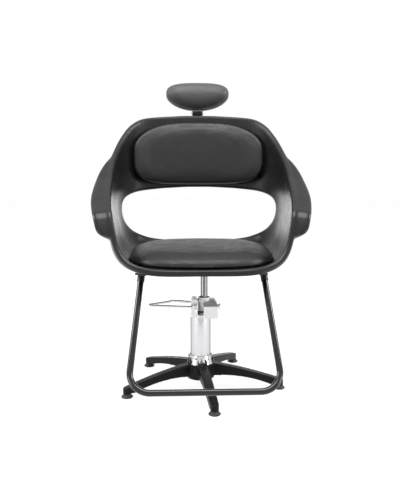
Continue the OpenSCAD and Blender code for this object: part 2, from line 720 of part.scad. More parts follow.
// Places of the rear bar's bends: share of the way to the tip, share of the way across, share of the rise
pedal_kink_shares = [[0.14, 0, 0.2], [0.46, 0.4, 1], [0.58, 0.56, 0.8]];
function pedal_kink(k) = [blend(pedal_start_x, pedal_tip[0], k[0]), blend(rear_eye_y, pedal_tip[1], k[1]),
    axle_z + pedal_kink_z * k[2]];
// Angle round the tip at which a straight line from a point touches it
function touch_angle(from, side) =
    let (v = [from[0], from[1]] - pedal_tip)
    atan2(v[1], v[0]) + side * acos(pedal_tip_r / norm(v));
function touch_point(a) = [pedal_tip[0] + pedal_tip_r * cos(a), pedal_tip[1] + pedal_tip_r * sin(a), axle_z];
module pedal_loop() {
    kinks = [for (k = pedal_kink_shares) pedal_kink(k)];
    front = [pedal_start_x, front_eye_y, axle_z];
    front_a = touch_angle(front, -1);
    rear_a = touch_angle(kinks[2], 1);
    rear = [[pedal_start_x, rear_eye_y, axle_z], kinks[0], kinks[1], kinks[2], touch_point(rear_a)];
    ahead = concat(rear, [touch_point(rear_a) - [pedal_bar_d, 0, 0]]);
    color([0.8, 0.8, 0.81]) placed() difference() {
        union() {
            bar_between(front, touch_point(front_a), pedal_bar_d);
            translate([pedal_tip[0], pedal_tip[1], axle_z]) rotate([0, 0, rear_a])
                rotate_extrude(angle = 360 + front_a - rear_a) translate([pedal_tip_r, 0]) circle(d = pedal_bar_d);
            for (i = [0:len(rear) - 2]) bar_between(rear[i], rear[i + 1], pedal_bar_d);
            for (i = [1:len(rear) - 1]) towards(rear[i], ahead[i + 1]) sphere(d = knuckle_d);
            towards(touch_point(front_a), front) sphere(d = knuckle_d);
            for (y = [front_eye_y, rear_eye_y])
                translate([axle_x, y + eye_t / 2, axle_z]) rotate([90, 0, 0]) cylinder(d = eye_d, h = eye_t);
        }
        translate([axle_x, rear_eye_y + eye_t, axle_z]) rotate([90, 0, 0])
            cylinder(d = axle_d + 2 * run_gap, h = rear_eye_y - front_eye_y + 2 * eye_t);
    }
}
nose_r = 5;
nose_offset = 3;
nose_x = axle_x + nose_offset;
module pedal_cam() {
    color([0.84, 0.84, 0.85]) placed() translate([0, cheek_front - seat_gap, 0]) rotate([90, 0, 0])
    difference() {
        union() {
            translate([axle_x, axle_z, 0]) cylinder(d = eye_d, h = cam_t);
            linear_extrude(cam_t)
                polygon([[axle_x - eye_d * 0.3, axle_z - eye_d * 0.35],
                    [axle_x + eye_d * 0.47, axle_z - eye_d * 0.06],
                    [nose_x + nose_r, plunger_z], [nose_x - nose_r, plunger_z]]);
            translate([nose_x, plunger_z, 0]) cylinder(r = nose_r, h = cam_t);
        }
        translate([axle_x, axle_z, -over]) cylinder(d = axle_d + 2 * run_gap, h = cam_t + 2 * over);
    }
}
module pump_plunger() {
    start = nose_x + nose_r + seat_gap;
    color([0.12, 0.12, 0.12]) placed() translate([start, plunger_y, plunger_z]) rotate([0, 90, 0]) {
        cylinder(d = plunger_d, h = plunger_end - start);
        cylinder(d = plunger_d + 2 * plunger_head_out, h = plunger_head_h);
    }
}

// Piston rod, which lifts the seat, and the socket that turns on it
piston_low = 104;
piston_h = 16;
bore_d = cylinder_d - 2 * cylinder_wall;
groove_z = piston_low + piston_h * 0.4;
groove_h = 4;
groove_in = 1;
rod_chamfer = 2;
module piston_rod() {
    r = bore_d / 2 - run_gap;
    g = rod_d / 2 - groove_in;
    color([0.86, 0.86, 0.87]) placed() translate([lift_x, 0, 0]) rotate_extrude()
        polygon([[0, piston_low], [r, piston_low], [r, groove_z], [g, groove_z], [g, groove_z + groove_h],
            [r, groove_z + groove_h], [r, piston_low + piston_h], [rod_d / 2, piston_low + piston_h],
            [rod_d / 2, rod_top - rod_chamfer], [rod_d / 2 - rod_chamfer, rod_top], [0, rod_top]]);
}
module piston_seal() {
    color([0.05, 0.05, 0.05]) placed() translate([lift_x, 0, groove_z + run_gap]) difference() {
        cylinder(r = bore_d / 2 - run_gap, h = groove_h - 2 * run_gap);
        translate([0, 0, -over]) cylinder(r = rod_d / 2 - groove_in + run_gap, h = groove_h + 2 * over);
    }
}
washer_inset = 2.5;
module thrust_washer() {
    color([0.7, 0.55, 0.3]) placed() translate([lift_x, 0, rod_top])
        cylinder(d = rod_d - 2 * washer_inset, h = washer_t);
}
bush_wall = 4;
bush_short = 3;
bush_d = rod_d + 2 * bush_wall;
module seat_socket() {
    color([0.1, 0.1, 0.1]) placed() difference() {
        translate([lift_x, 0, socket_low]) cylinder(d = socket_d, h = plate_low - socket_low);
        translate([lift_x, 0, socket_low - over]) cylinder(d = bush_d, h = socket_ceiling - socket_low + over);
    }
}
module swivel_bush() {
    color([0.7, 0.55, 0.3]) placed() translate([lift_x, 0, socket_low]) difference() {
        cylinder(d = bush_d - 2 * run_gap, h = rod_top - bush_short - socket_low);
        translate([0, 0, -over]) cylinder(d = rod_d + 2 * run_gap, h = rod_top);
    }
}

bolt_d = 8;
bolt_head_d = 15;
bolt_head_h = 5;
bolt_grip = 10;
plate_bolt_in = 16;
plate_bolt_x = plate_w / 2 - plate_bolt_in;
module at_plate_bolts() {
    for (x = [-1, 1]) for (y = [-1, 1]) translate([x * plate_bolt_x, y * plate_bolt_x, 0]) children();
}
module bolt_up(reach) {
    translate([0, 0, plate_low - bolt_head_h]) cylinder(d = bolt_head_d, h = bolt_head_h, $fn = 6);
    translate([0, 0, plate_low - over]) cylinder(d = bolt_d, h = reach + over);
}
module seat_plate() {
    corner = 14;
    color([0.1, 0.1, 0.1]) placed() translate([0, 0, plate_low]) difference() {
        union() {
            translate([-plate_w / 2 + corner, -plate_w / 2, 0]) cube([plate_w - 2 * corner, plate_w, plate_t]);
            translate([-plate_w / 2, -plate_w / 2 + corner, 0]) cube([plate_w, plate_w - 2 * corner, plate_t]);
            for (x = [-1, 1]) for (y = [-1, 1])
                translate([x * (plate_w / 2 - corner), y * (plate_w / 2 - corner), 0])
                    cylinder(r = corner, h = plate_t);
        }
        at_plate_bolts() translate([0, 0, -over]) cylinder(d = bolt_d + 2 * seat_gap, h = plate_t + 2 * over);
    }
}
module seat_bolts() {
    color("silver") placed() at_plate_bolts() bolt_up(plate_t + bolt_grip);
}

// Footrest: a bent tube in one sloping plane, held in a bracket at each side
foot_top_drop = 6;
foot_top_z = shell_under - plate_t - foot_top_drop;
foot_top_y = -205;
foot_rise = foot_top_z - foot_bar_z;
foot_run = foot_bar_y + foot_top_y;
foot_plane_l = norm([foot_rise, foot_run]);
foot_slope = atan2(foot_rise, foot_run);
foot_splay = atan2(foot_bar_half_w - foot_top_half_w, foot_plane_l);
foot_leg_l = norm([foot_bar_half_w - foot_top_half_w, foot_plane_l]);
foot_turn = 90 + foot_splay;
foot_tangent = foot_bend_r * tan(foot_turn / 2);
sleeve_wall = 1.6;
sleeve_d = foot_tube_d + 2 * sleeve_wall;
sleeve_l = 17;
// Draws in the footrest's plane: across is X and up the slope is Y
module in_foot_plane() {
    translate([0, -foot_bar_y, foot_bar_z]) rotate([foot_slope, 0, 0]) children();
}
module tube_section() {
    difference() {
        circle(d = foot_tube_d);
        circle(d = foot_tube_d - 2 * foot_tube_wall);
    }
}
module footrest_tube() {
    bar_half = foot_bar_half_w - foot_tangent;
    color([0.16, 0.16, 0.17]) placed() in_foot_plane() {
        translate([-bar_half, 0, 0]) rotate([0, 90, 0]) linear_extrude(2 * bar_half) tube_section();
        for (side = [0, 1]) mirror([side, 0, 0]) {
            translate([bar_half, foot_bend_r, 0]) rotate([0, 0, -90]) rotate_extrude(angle = foot_turn)
                translate([foot_bend_r, 0]) tube_section();
            translate([foot_bar_half_w, 0, 0]) rotate([0, 0, foot_splay]) translate([0, foot_tangent, 0])
                rotate([-90, 0, 0]) linear_extrude(foot_leg_l - foot_tangent) tube_section();
        }
    }
}
bracket_out = 9.5;
bracket_in = 16;
left_tab = 9;
bracket_bolt_in = 9;
bracket_front = 20;
bracket_bolts_back = [24, 36];
bracket_end = 6;
bracket_l = bracket_front + bracket_bolts_back[1] + bracket_end;
bracket_bolt_d = 6;
bracket_bolt_head_d = 10;
bracket_bolt_head_h = 6;
module footrest_brackets() {
    color([0.07, 0.07, 0.07]) placed() for (side = [-1, 1]) {
        x = side * foot_top_half_w;
        difference() {
            union() {
                translate([x - (side < 0 ? bracket_out : bracket_in), foot_top_y - bracket_front, plate_low])
                    cube([bracket_out + bracket_in, bracket_l, plate_t]);
                if (side < 0)
                    translate([x - bracket_out - left_tab, foot_top_y - left_tab / 2, plate_low])
                        cube([bracket_out + left_tab, left_tab, plate_t]);
                intersection() {
                    sleeve(side, sleeve_d);
                    translate([x - bracket_l, foot_top_y - bracket_l, 0])
                        cube([2 * bracket_l, 2 * bracket_l, plate_low + plate_t / 2]);
                }
            }
            intersection() {
                sleeve(side, foot_tube_d + 2 * run_gap);
                translate([x - bracket_l, foot_top_y - bracket_l, 0])
                    cube([2 * bracket_l, 2 * bracket_l, plate_low]);
            }
            at_bracket_bolts(side) translate([0, 0, plate_low - over])
                cylinder(d = bracket_bolt_d + 2 * seat_gap, h = plate_t + 2 * over);
        }
    }
}
module sleeve(side, d) {
    in_foot_plane() translate([side * foot_bar_half_w, 0, 0]) rotate([0, 0, side * foot_splay])
        translate([0, foot_leg_l - sleeve_l, 0]) rotate([-90, 0, 0]) cylinder(d = d, h = 2 * sleeve_l);
}
module at_bracket_bolts(side) {
    for (y = bracket_bolts_back)
        translate([side * (foot_top_half_w - bracket_bolt_in), foot_top_y + y, 0]) children();
}
module footrest_bolts() {
    color([0.07, 0.07, 0.07]) placed() for (side = [-1, 1]) at_bracket_bolts(side) {
        translate([0, 0, plate_low - bracket_bolt_head_h])
            cylinder(d = bracket_bolt_head_d, h = bracket_bolt_head_h);
        translate([0, 0, plate_low - over]) cylinder(d = bracket_bolt_d, h = plate_t + bolt_grip + over);
    }
}

// Headrest: a guide on the back of the shell, in a frame that leans with the back
guide_z = pan_z + back_h * 0.815;
guide_h = 100;
guide_t = 3;
function back_outer(z) = back_at(0, z) - back_in(0, z) * shell_wall;
guide_chord = back_outer(guide_z + guide_h / 2) - back_outer(guide_z - guide_h / 2);
guide_lean = atan2(guide_chord[1], guide_chord[2]);
guide_at = back_outer(guide_z) + [0, cos(guide_lean), -sin(guide_lean)] * seat_gap;
// Draws behind the back: Y is away from it and Z is up along it
module behind_back() {
    translate(guide_at) rotate([-guide_lean, 0, 0]) children();
}
slide_gap = seat_gap;
guide_flange = 15.7;
guide_w = bar_w + 2 * (slide_gap + guide_t + guide_flange);
bar_front = guide_t + guide_t + slide_gap;
bar_mid = bar_front + bar_t / 2;
sleeve_t = bar_front + bar_t + slide_gap + guide_t;
bar_low = -108;
pin_up = 107;
guide_screw_in = 9;
guide_screw_end = 10;
guide_screw_l = 12;
guide_screw_head_d = 9.6;
guide_boss_d = 18;
guide_boss_h = 6;
screw_x = guide_w / 2 - guide_screw_in;
screw_d = 5;
module at_guide_screws() {
    for (x = [-1, 1]) for (z = [-1, 1])
        translate([x * screw_x, 0, z * (guide_h / 2 - guide_screw_end)]) rotate([-90, 0, 0]) children();
}
knob_shank_d = 8;
module headrest_guide() {
    inner_w = bar_w + 2 * slide_gap;
    color([0.08, 0.08, 0.08]) placed() behind_back() difference() {
        union() {
            translate([-guide_w / 2, 0, -guide_h / 2]) cube([guide_w, guide_t, guide_h]);
            translate([-inner_w / 2 - guide_t, 0, -guide_h / 2])
                cube([inner_w + 2 * guide_t, sleeve_t, guide_h]);
            translate([0, sleeve_t - over, 0]) rotate([-90, 0, 0])
                cylinder(d = guide_boss_d, h = guide_boss_h + over);
        }
        translate([-inner_w / 2, bar_front - slide_gap, -guide_h / 2 - over])
            cube([inner_w, bar_t + 2 * slide_gap, guide_h + 2 * over]);
        translate([0, sleeve_t - guide_t - over, 0]) rotate([-90, 0, 0])
            cylinder(d = knob_shank_d + 2 * run_gap, h = guide_t + guide_boss_h + 3 * over);
        at_guide_screws() translate([0, 0, -over])
            cylinder(d = screw_d + 2 * run_gap, h = guide_t + 2 * over);
    }
}
module guide_screws() {
    color("silver") placed() behind_back() at_guide_screws() {
        translate([0, 0, -guide_screw_l]) cylinder(d = screw_d, h = guide_screw_l + guide_t + over);
        translate([0, 0, guide_t]) dome_head(guide_screw_head_d);
    }
}
knob_d = 34;
knob_h = 14;
knob_shank_l = 12;
module bar_knob() {
    lobe_count = 5;
    color([0.06, 0.06, 0.06]) placed() behind_back() rotate([-90, 0, 0]) {
        translate([0, 0, sleeve_t - guide_t + seat_gap]) cylinder(d = knob_shank_d, h = knob_shank_l);
        translate([0, 0, sleeve_t + guide_boss_h + seat_gap]) difference() {
            cylinder(d = knob_d, h = knob_h);
            for (i = [0:lobe_count - 1]) rotate([0, 0, i * 360 / lobe_count])
                translate([knob_d * 0.59, 0, -over]) cylinder(d = knob_d * 0.35, h = knob_h + 2 * over);
        }
    }
}
bar_eye_wall = 3.5;
bar_eye_d = bar_t + 2 * bar_eye_wall;
module headrest_bar() {
    color([0.07, 0.07, 0.07]) placed() behind_back() difference() {
        union() {
            translate([-bar_w / 2, bar_front, bar_low]) cube([bar_w, bar_t, pin_up - bar_low]);
            translate([-bar_w / 2, bar_mid, pin_up]) rotate([0, 90, 0]) cylinder(d = bar_eye_d, h = bar_w);
        }
        translate([-bar_w / 2 - over, bar_mid, pin_up]) rotate([0, 90, 0])
            cylinder(d = tilt_pin_d + 2 * run_gap, h = bar_w + 2 * over);
    }
}
ear_t = 3;
ear_r = 9;
ear_h = 44;
pin_out = 2;
plate_clear = 2;
pad_above_pin = 65;
pad_plate_drop = 2.5;
ear_x = bar_w / 2 + seat_gap;
module headrest_pin() {
    half = ear_x + ear_t + pin_out;
    color("silver") placed() behind_back() translate([-half, bar_mid, pin_up]) rotate([0, 90, 0])
        cylinder(d = tilt_pin_d, h = 2 * half);
}
// The pad stands in front of the bar on a plate with two ears
plate_back = bar_mid - bar_eye_d / 2 - plate_clear;
pad_plate_t = 3;
pad_mid_up = pin_up + pad_above_pin;
pad_up = pad_h * 0.43;
pad_down = pad_h * 0.57;
pad_top_round_share = 2.7;
pad_low_round_share = 1.9;
module pad_outline(grow) {
    polygon([for (p = outline(pad_half_w * grow, pad_up * grow, pad_down * grow, pad_top_round_share,
        pad_low_round_share, outline_count)) p]);
}
module headrest_plate() {
    color([0.75, 0.75, 0.76]) placed() behind_back() difference() {
        union() {
            translate([0, plate_back, pad_mid_up - pad_plate_drop]) rotate([90, 0, 0])
                linear_extrude(pad_plate_t) pad_outline(0.97);
            for (side = [0, 1]) mirror([side, 0, 0]) translate([ear_x, 0, 0])
                rotate([90, 0, 90]) linear_extrude(ear_t) {
                    translate([bar_mid, pin_up]) circle(ear_r);
                    polygon([[plate_back - pad_plate_t / 2, pin_up + ear_r * 0.9],
                        [plate_back - pad_plate_t / 2, pin_up + ear_h], [plate_back, pin_up + ear_h],
                        [bar_mid + ear_r * 0.95, pin_up + ear_r * 0.33], [bar_mid, pin_up - ear_r * 0.99],
                        [bar_mid - ear_r * 0.78, pin_up - ear_r * 0.55]]);
                }
        }
        translate([-ear_x - ear_t - over, bar_mid, pin_up]) rotate([0, 90, 0])
            cylinder(d = tilt_pin_d + 2 * run_gap, h = 2 * (ear_x + ear_t + over));
    }
}
pad_shares = [[0.5, 0], [0.9, 0], [0.97, 0.06], [1, 0.26], [0.985, 0.46], [0.93, 0.66], [0.83, 0.81],
    [0.67, 0.92], [0.4, 0.98]];
module headrest_pad() {
    back = plate_back - pad_plate_t - seat_gap;
    color([0.2, 0.2, 0.21]) placed() behind_back() translate([0, back, pad_mid_up])
        form([for (c = pad_shares)
                [for (p = outline(pad_half_w, pad_up, pad_down, pad_top_round_share, pad_low_round_share,
                    outline_count)) [p[0] * c[0], -pad_t * c[1], p[1] * c[0]]]],
            [0, 0, 0], [0, -pad_t, 0]);
}

star_base();
glide_stems();
glide_pads();
base_skirt();
skirt_screws();
column_bolts();
column_foot();
column_tube();
lift_cylinder();
pump_head();
rod_gland();
rod_wiper();
valve_plug();
pedal_axle();
axle_caps();
pedal_loop();
pedal_cam();
pump_plunger();
piston_rod();
piston_seal();
thrust_washer();
seat_socket();
swivel_bush();
seat_plate();
seat_bolts();
footrest_brackets();
footrest_bolts();
footrest_tube();
seat_shell();
seat_board();
seat_cushion();
back_board();
back_cushion();
headrest_guide();
guide_screws();
bar_knob();
headrest_bar();
headrest_pin();
headrest_plate();
headrest_pad();
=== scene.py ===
"""A threading chair: a moulded shell with cushions and a headrest, on a hydraulic pump and a star base."""
import math
import bpy
import numpy as np
from mathutils import Matrix, Vector


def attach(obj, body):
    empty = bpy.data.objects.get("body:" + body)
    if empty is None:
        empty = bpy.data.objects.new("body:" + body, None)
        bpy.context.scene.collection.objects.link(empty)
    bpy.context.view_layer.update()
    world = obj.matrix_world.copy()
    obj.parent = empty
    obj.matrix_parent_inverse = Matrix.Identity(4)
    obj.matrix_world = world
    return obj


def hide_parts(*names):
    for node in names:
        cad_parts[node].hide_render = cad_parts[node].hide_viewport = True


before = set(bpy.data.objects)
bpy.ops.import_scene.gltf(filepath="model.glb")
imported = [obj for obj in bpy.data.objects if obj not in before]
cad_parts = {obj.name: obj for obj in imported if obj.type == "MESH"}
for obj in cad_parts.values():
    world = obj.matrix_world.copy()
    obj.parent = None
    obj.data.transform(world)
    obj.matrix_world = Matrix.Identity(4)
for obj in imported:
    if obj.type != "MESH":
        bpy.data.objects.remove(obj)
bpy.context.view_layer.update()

# Studio: a white floor in white surroundings, lit by large soft lamps.
# The lens stands where the photograph was taken, a little above the armrests and looking slightly down.
lens_at = (-0.0730, -2.1218, 0.7995)
lens_tilt = (81.21, 0, -2.2)
lens_mm = 47.35
picture_mm = 36
camera = bpy.data.objects.new("camera", bpy.data.cameras.new("camera"))
camera.data.sensor_fit = "VERTICAL"
camera.data.sensor_height = picture_mm
camera.data.lens = lens_mm
camera.location = lens_at
camera.rotation_euler = [math.radians(a) for a in lens_tilt]
bpy.context.scene.collection.objects.link(camera)
bpy.context.scene.camera = camera
bpy.context.scene.view_settings.view_transform = "Standard"


def put(tree, kind, values=None, **settings):
    """Adds a node, sets its settings, and gives each named input a number or another node's output."""
    node = tree.nodes.new("ShaderNode" + kind)
    for key, value in settings.items():
        setattr(node, key, value)
    for key, value in (values or {}).items():
        if isinstance(value, bpy.types.NodeSocket):
            tree.links.new(value, node.inputs[key])
        else:
            node.inputs[key].default_value = value
    return node


def seen_white(tree):
    """1 for the lens, for reflections and for what is seen through glass, and 0 for plain light."""
    ray = put(tree, "LightPath").outputs
    mirrored = put(tree, "Math", {0: ray["Is Camera Ray"], 1: ray["Is Glossy Ray"]}, operation="MAXIMUM")
    seen = put(tree, "Math", {0: mirrored.outputs[0], 1: ray["Is Transmission Ray"]}, operation="MAXIMUM")
    return seen.outputs[0]


room_light = 0.34
world = bpy.data.worlds.new("room")
bpy.context.scene.world = world
world.use_nodes = True
tree = world.node_tree
tree.nodes.clear()
level = put(tree, "MapRange", {"Value": seen_white(tree), "To Min": room_light, "To Max": 1.0})
surround = put(tree, "Background", {"Color": (1, 1, 1, 1), "Strength": level.outputs[0]})
put(tree, "OutputWorld", {"Surface": surround.outputs[0]})

floor_radius = 9
floor_sides = 64
floor_paint = 0.25
floor_glow = 0.90
floor_mesh = bpy.data.meshes.new("floor")
floor_turns = [2 * math.pi * i / floor_sides for i in range(floor_sides)]
floor_mesh.from_pydata([(floor_radius * math.cos(a), floor_radius * math.sin(a), 0) for a in floor_turns],
                       [], [list(range(floor_sides))])
floor = bpy.data.objects.new("floor", floor_mesh)
bpy.context.scene.collection.objects.link(floor)
floor_white = bpy.data.materials.new("floor_white")
floor_white.use_nodes = True
tree = floor_white.node_tree
tree.nodes.clear()
paint = put(tree, "BsdfDiffuse", {"Color": (floor_paint, floor_paint, floor_paint, 1)})
glow = put(tree, "Emission", {"Color": (1, 1, 1, 1), "Strength": floor_glow})
lit = put(tree, "AddShader", {0: paint.outputs[0], 1: glow.outputs[0]})
shown = put(tree, "MixShader", {0: seen_white(tree), 1: paint.outputs[0], 2: lit.outputs[0]})
put(tree, "OutputMaterial", {"Surface": shown.outputs[0]})
floor_mesh.materials.append(floor_white)


def softbox(name, at, aim, size, watts):
    """A rectangular lamp that is turned toward a place and that the lens doesn't see."""
    lamp = bpy.data.lights.new(name, "AREA")
    lamp.shape = "RECTANGLE"
    lamp.size, lamp.size_y = size
    lamp.energy = watts
    box = bpy.data.objects.new(name, lamp)
    box.location = at
    box.rotation_euler = (Vector(aim) - Vector(at)).to_track_quat("-Z", "Y").to_euler()
    box.visible_camera = False
    bpy.context.scene.collection.objects.link(box)


lamp_sides = (("left", -1), ("right", 1))
for name, side in lamp_sides:
    softbox(name + "_side", at=(side * 2.3, -0.1, 1.9), aim=(0, 0, 0.6), size=(0.7, 1.0), watts=32)
for name, side in lamp_sides:
    softbox(name + "_low", at=(side * 1.0, -0.62, 0.27), aim=(0, 0, 0.27), size=(0.4, 0.5), watts=2.8)
softbox("overhead", at=(0, -0.6, 2.8), aim=(0, 0, 0.5), size=(1.8, 1.4), watts=60)
softbox("behind", at=(0, 2.2, 0.34), aim=(0, 0, 0.45), size=(2.4, 0.5), watts=3.8)

# Star base: one casting of five hollow legs on a hub, painted satin black over its rounded edges.
# The pump's column stands in the hub.
drift_stops = (0.35, 0.65)
smudges_per_drift = 5
smudge_range = (0.3, 0.7)
gloss_swing = 0.15
edge_samples = 4
wear_begins, wear_full, wear_most = 0.985, 0.80, 0.7
mix_first, mix_second, mix_result = 6, 7, 2


def finish(name, colour, roughness, metallic=0.0, drift=0.12, drift_size=0.14, relief=(0.0012, 0.00004),
           worn=None, edge=0.0008, cells=None, **sockets):
    """A finish that drifts in colour and gloss over the piece, with a fine relief.

    relief and cells are the size and the depth of a fine and of a pebbled grain. Edges look rounded over the
    length that edge gives, and wear to the colour of worn there. What else is named goes to the shader.
    """
    material = bpy.data.materials.new(name)
    material.use_nodes = True
    tree = material.node_tree
    shader = tree.nodes["Principled BSDF"]
    shader.inputs["Metallic"].default_value = metallic
    for key, value in sockets.items():
        shader.inputs[key.replace("_", " ")].default_value = value
    place = put(tree, "TexCoord").outputs["Object"]
    cloud = put(tree, "TexNoise", {"Vector": place, "Scale": 1 / drift_size, "Detail": 3.0})
    shades = put(tree, "ValToRGB", {"Fac": cloud.outputs[0]})
    for stop, at, share in zip(shades.color_ramp.elements, drift_stops, (1 - drift, 1 + drift)):
        stop.position = at
        stop.color = [min(c * share, 1) for c in colour] + [1]
    shown = shades.outputs[0]
    smudge = put(tree, "TexNoise", {"Vector": place, "Scale": smudges_per_drift / drift_size, "Detail": 4.0})
    gloss = put(tree, "MapRange", {"Value": smudge.outputs[0],
                                   "From Min": smudge_range[0], "From Max": smudge_range[1],
                                   "To Min": roughness * (1 - gloss_swing),
                                   "To Max": min(roughness * (1 + gloss_swing), 1)})
    tree.links.new(gloss.outputs[0], shader.inputs["Roughness"])
    size, depth = relief
    fine = put(tree, "TexNoise", {"Vector": place, "Scale": 1 / size, "Detail": 2.0})
    soft_edge = put(tree, "Bevel", {"Radius": edge}, samples=edge_samples)
    bump = put(tree, "Bump", {"Height": fine.outputs[0], "Distance": depth, "Strength": 1.0,
                              "Normal": soft_edge.outputs[0]})
    if cells:
        pebble = put(tree, "TexVoronoi", {"Vector": place, "Scale": 1 / cells[0]}, feature="SMOOTH_F1")
        bump = put(tree, "Bump", {"Height": pebble.outputs[0], "Distance": cells[1], "Strength": 1.0,
                                  "Normal": bump.outputs[0]})
    tree.links.new(bump.outputs[0], shader.inputs["Normal"])
    if worn:
        true = put(tree, "NewGeometry")
        same = put(tree, "VectorMath", {0: soft_edge.outputs[0], 1: true.outputs["Normal"]},
                   operation="DOT_PRODUCT")
        rubbed = put(tree, "MapRange", {"Value": same.outputs["Value"], "From Min": wear_begins,
                                        "From Max": wear_full, "To Min": 0.0, "To Max": wear_most})
        patchy = put(tree, "Math", {0: rubbed.outputs[0], 1: smudge.outputs[0]}, operation="MULTIPLY")
        mixed = put(tree, "Mix", {0: patchy.outputs[0], mix_first: shown, mix_second: tuple(worn) + (1,)},
                    data_type="RGBA")
        shown = mixed.outputs[mix_result]
    tree.links.new(shown, shader.inputs["Base Color"])
    return material


def smooth_faces(mesh):
    """Shades all the faces of a mesh as one smooth skin."""
    mesh.polygons.foreach_set("use_smooth", [True] * len(mesh.polygons))
    mesh.update()


def new_piece(name, mesh, material, body, stands_for):
    """Links a piece that rides on a body and stands for CAD nodes."""
    piece = bpy.data.objects.new(name, mesh)
    bpy.context.scene.collection.objects.link(piece)
    mesh.materials.clear()
    mesh.materials.append(material)
    smooth_faces(mesh)
    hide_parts(*stands_for)
    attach(piece, body)
    return piece


def settle(piece):
    """Applies a piece's modifiers."""
    bpy.context.view_layer.update()
    graph = bpy.context.evaluated_depsgraph_get()
    mesh = bpy.data.meshes.new_from_object(piece.evaluated_get(graph))
    piece.modifiers.clear()
    piece.data = mesh
    smooth_faces(mesh)


def even_skin(piece, voxel, passes):
    """Adds modifiers that give a piece a skin of even faces and round its edges over."""
    remesh = piece.modifiers.new("even_skin", "REMESH")
    remesh.mode = "VOXEL"
    remesh.voxel_size = voxel
    ease = piece.modifiers.new("eased_edges", "SMOOTH")
    ease.iterations = passes


def cast_copy(node, name, material, body, voxel, passes, keep):
    """A node's own form with its edges rounded over, as casting and paint leave them."""
    piece = new_piece(name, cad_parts[node].data.copy(), material, body, [node])
    even_skin(piece, voxel, passes)
    piece.modifiers.new("fewer_faces", "DECIMATE").ratio = keep
    settle(piece)


base_black = finish("base_black", (0.006, 0.0055, 0.005), 0.40, relief=(0.0016, 0.00005),
                    worn=(0.045, 0.042, 0.04), Specular_IOR_Level=0.17)
cast_copy("star_base", "base_casting", base_black, "base", voxel=0.0022, passes=4, keep=0.4)

# Glides: a zinc-plated steel stud is pressed up into the end of each leg.
# A moulded rubber foot sits over the stud and stands on the floor.


def coat(nodes, material):
    """Gives CAD nodes their finish."""
    for name in nodes:
        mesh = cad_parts[name].data
        mesh.materials.clear()
        mesh.materials.append(material)


zinc = finish("zinc", (0.58, 0.58, 0.56), 0.34, metallic=1.0, drift=0.08, relief=(0.0006, 0.00002))
glide_rubber = finish("glide_rubber", (0.014, 0.014, 0.014), 0.58, relief=(0.0007, 0.00005), edge=0.0006)
coat(["glide_stems"], zinc)
coat(["glide_pads"], glide_rubber)

# Column: a chromed steel tube in the hub, with a pressed skirt over the joint and five screws through it.
# Inside stand the foot and the lift cylinder, both turned and left bare. Four bolts hold the foot from below.
bright_chrome = finish("bright_chrome", (0.64, 0.64, 0.65), 0.18, metallic=1.0, drift=0.03,
                       relief=(0.004, 0.00001), edge=0.0006, Specular_Tint=(0.25, 0.25, 0.26, 1))
bare_steel = finish("bare_steel", (0.42, 0.42, 0.43), 0.38, metallic=1.0, relief=(0.0007, 0.00003))
coat(["column_tube", "base_skirt", "skirt_screws"], bright_chrome)
coat(["column_foot", "lift_cylinder"], bare_steel)
coat(["column_bolts"], zinc)

# Pump head: a casting with a cheek for the pedal's axle and a box for the valves, polished and plated.
# A gland with a rubber wiper closes it round the piston rod, and a plug closes the valve's bore on the right.
pump_casting = finish("pump_casting", (0.84, 0.84, 0.85), 0.56, metallic=0.75, drift=0.05,
                      relief=(0.0025, 0.00006), worn=(0.72, 0.72, 0.72))
black_rubber = finish("black_rubber", (0.015, 0.015, 0.015), 0.55, relief=(0.0006, 0.00003))
cast_copy("pump_head", "pump_casting", pump_casting, "base", voxel=0.0009, passes=3, keep=0.3)
coat(["rod_gland", "valve_plug"], pump_casting)
coat(["rod_wiper"], black_rubber)

# Pedal: a round bar bent into a long loop, with an eye pressed at each end, on an axle with two caps.
# The eye in front carries a cam whose nose pushes the pump's small plunger.


def middle_of(node):
    """The middle of a CAD node's box."""
    corners = np.array([v.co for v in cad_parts[node].data.vertices])
    return (corners.min(0) + corners.max(0)) / 2


def tube_mesh(name, path, radius, sides=16, closed=False):
    """A round bar or tube that follows a path of close points."""
    points = [Vector(p) for p in path]
    last = len(points) - 1
    rings = []
    side = None
    for i, p in enumerate(points):
        ahead = points[(i + 1) % len(points)] if closed or i < last else p
        behind = points[i - 1] if closed or i > 0 else p
        along = (ahead - behind).normalized()
        if side is None:
            side = along.orthogonal().normalized()
        side = (side - along * side.dot(along)).normalized()
        other = along.cross(side)
        rings.append([p + (side * math.cos(a) + other * math.sin(a)) * radius
                      for a in (2 * math.pi * j / sides for j in range(sides))])
    corners = [tuple(v) for ring in rings for v in ring]
    count = len(rings)
    faces = [(i * sides + j, i * sides + (j + 1) % sides,
              (i + 1) % count * sides + (j + 1) % sides, (i + 1) % count * sides + j)
             for i in range(count if closed else last) for j in range(sides)]
    if not closed:
        faces += [tuple(reversed(range(sides))), tuple(range(last * sides, count * sides))]
    mesh = bpy.data.meshes.new(name)
    mesh.from_pydata(corners, [], faces)
    return mesh


def lathe_mesh(name, profile, at, axis, sides=48):
    """A turned piece: its profile is given as radius and height along an axis."""
    turn = Vector(axis).to_track_quat("Z", "Y").to_matrix()
    corners = [tuple(Vector(at) + turn @ Vector((r * math.cos(a), r * math.sin(a), h)))
               for a in (2 * math.pi * i / sides for i in range(sides)) for r, h in profile]
    n = len(profile)
    faces = [(i * n + j, (i + 1) % sides * n + j, (i + 1) % sides * n + (j + 1) % n, i * n + (j + 1) % n)
             for i in range(sides) for j in range(n)]
    mesh = bpy.data.meshes.new(name)
    mesh.from_pydata(corners, [], faces)
    return mesh


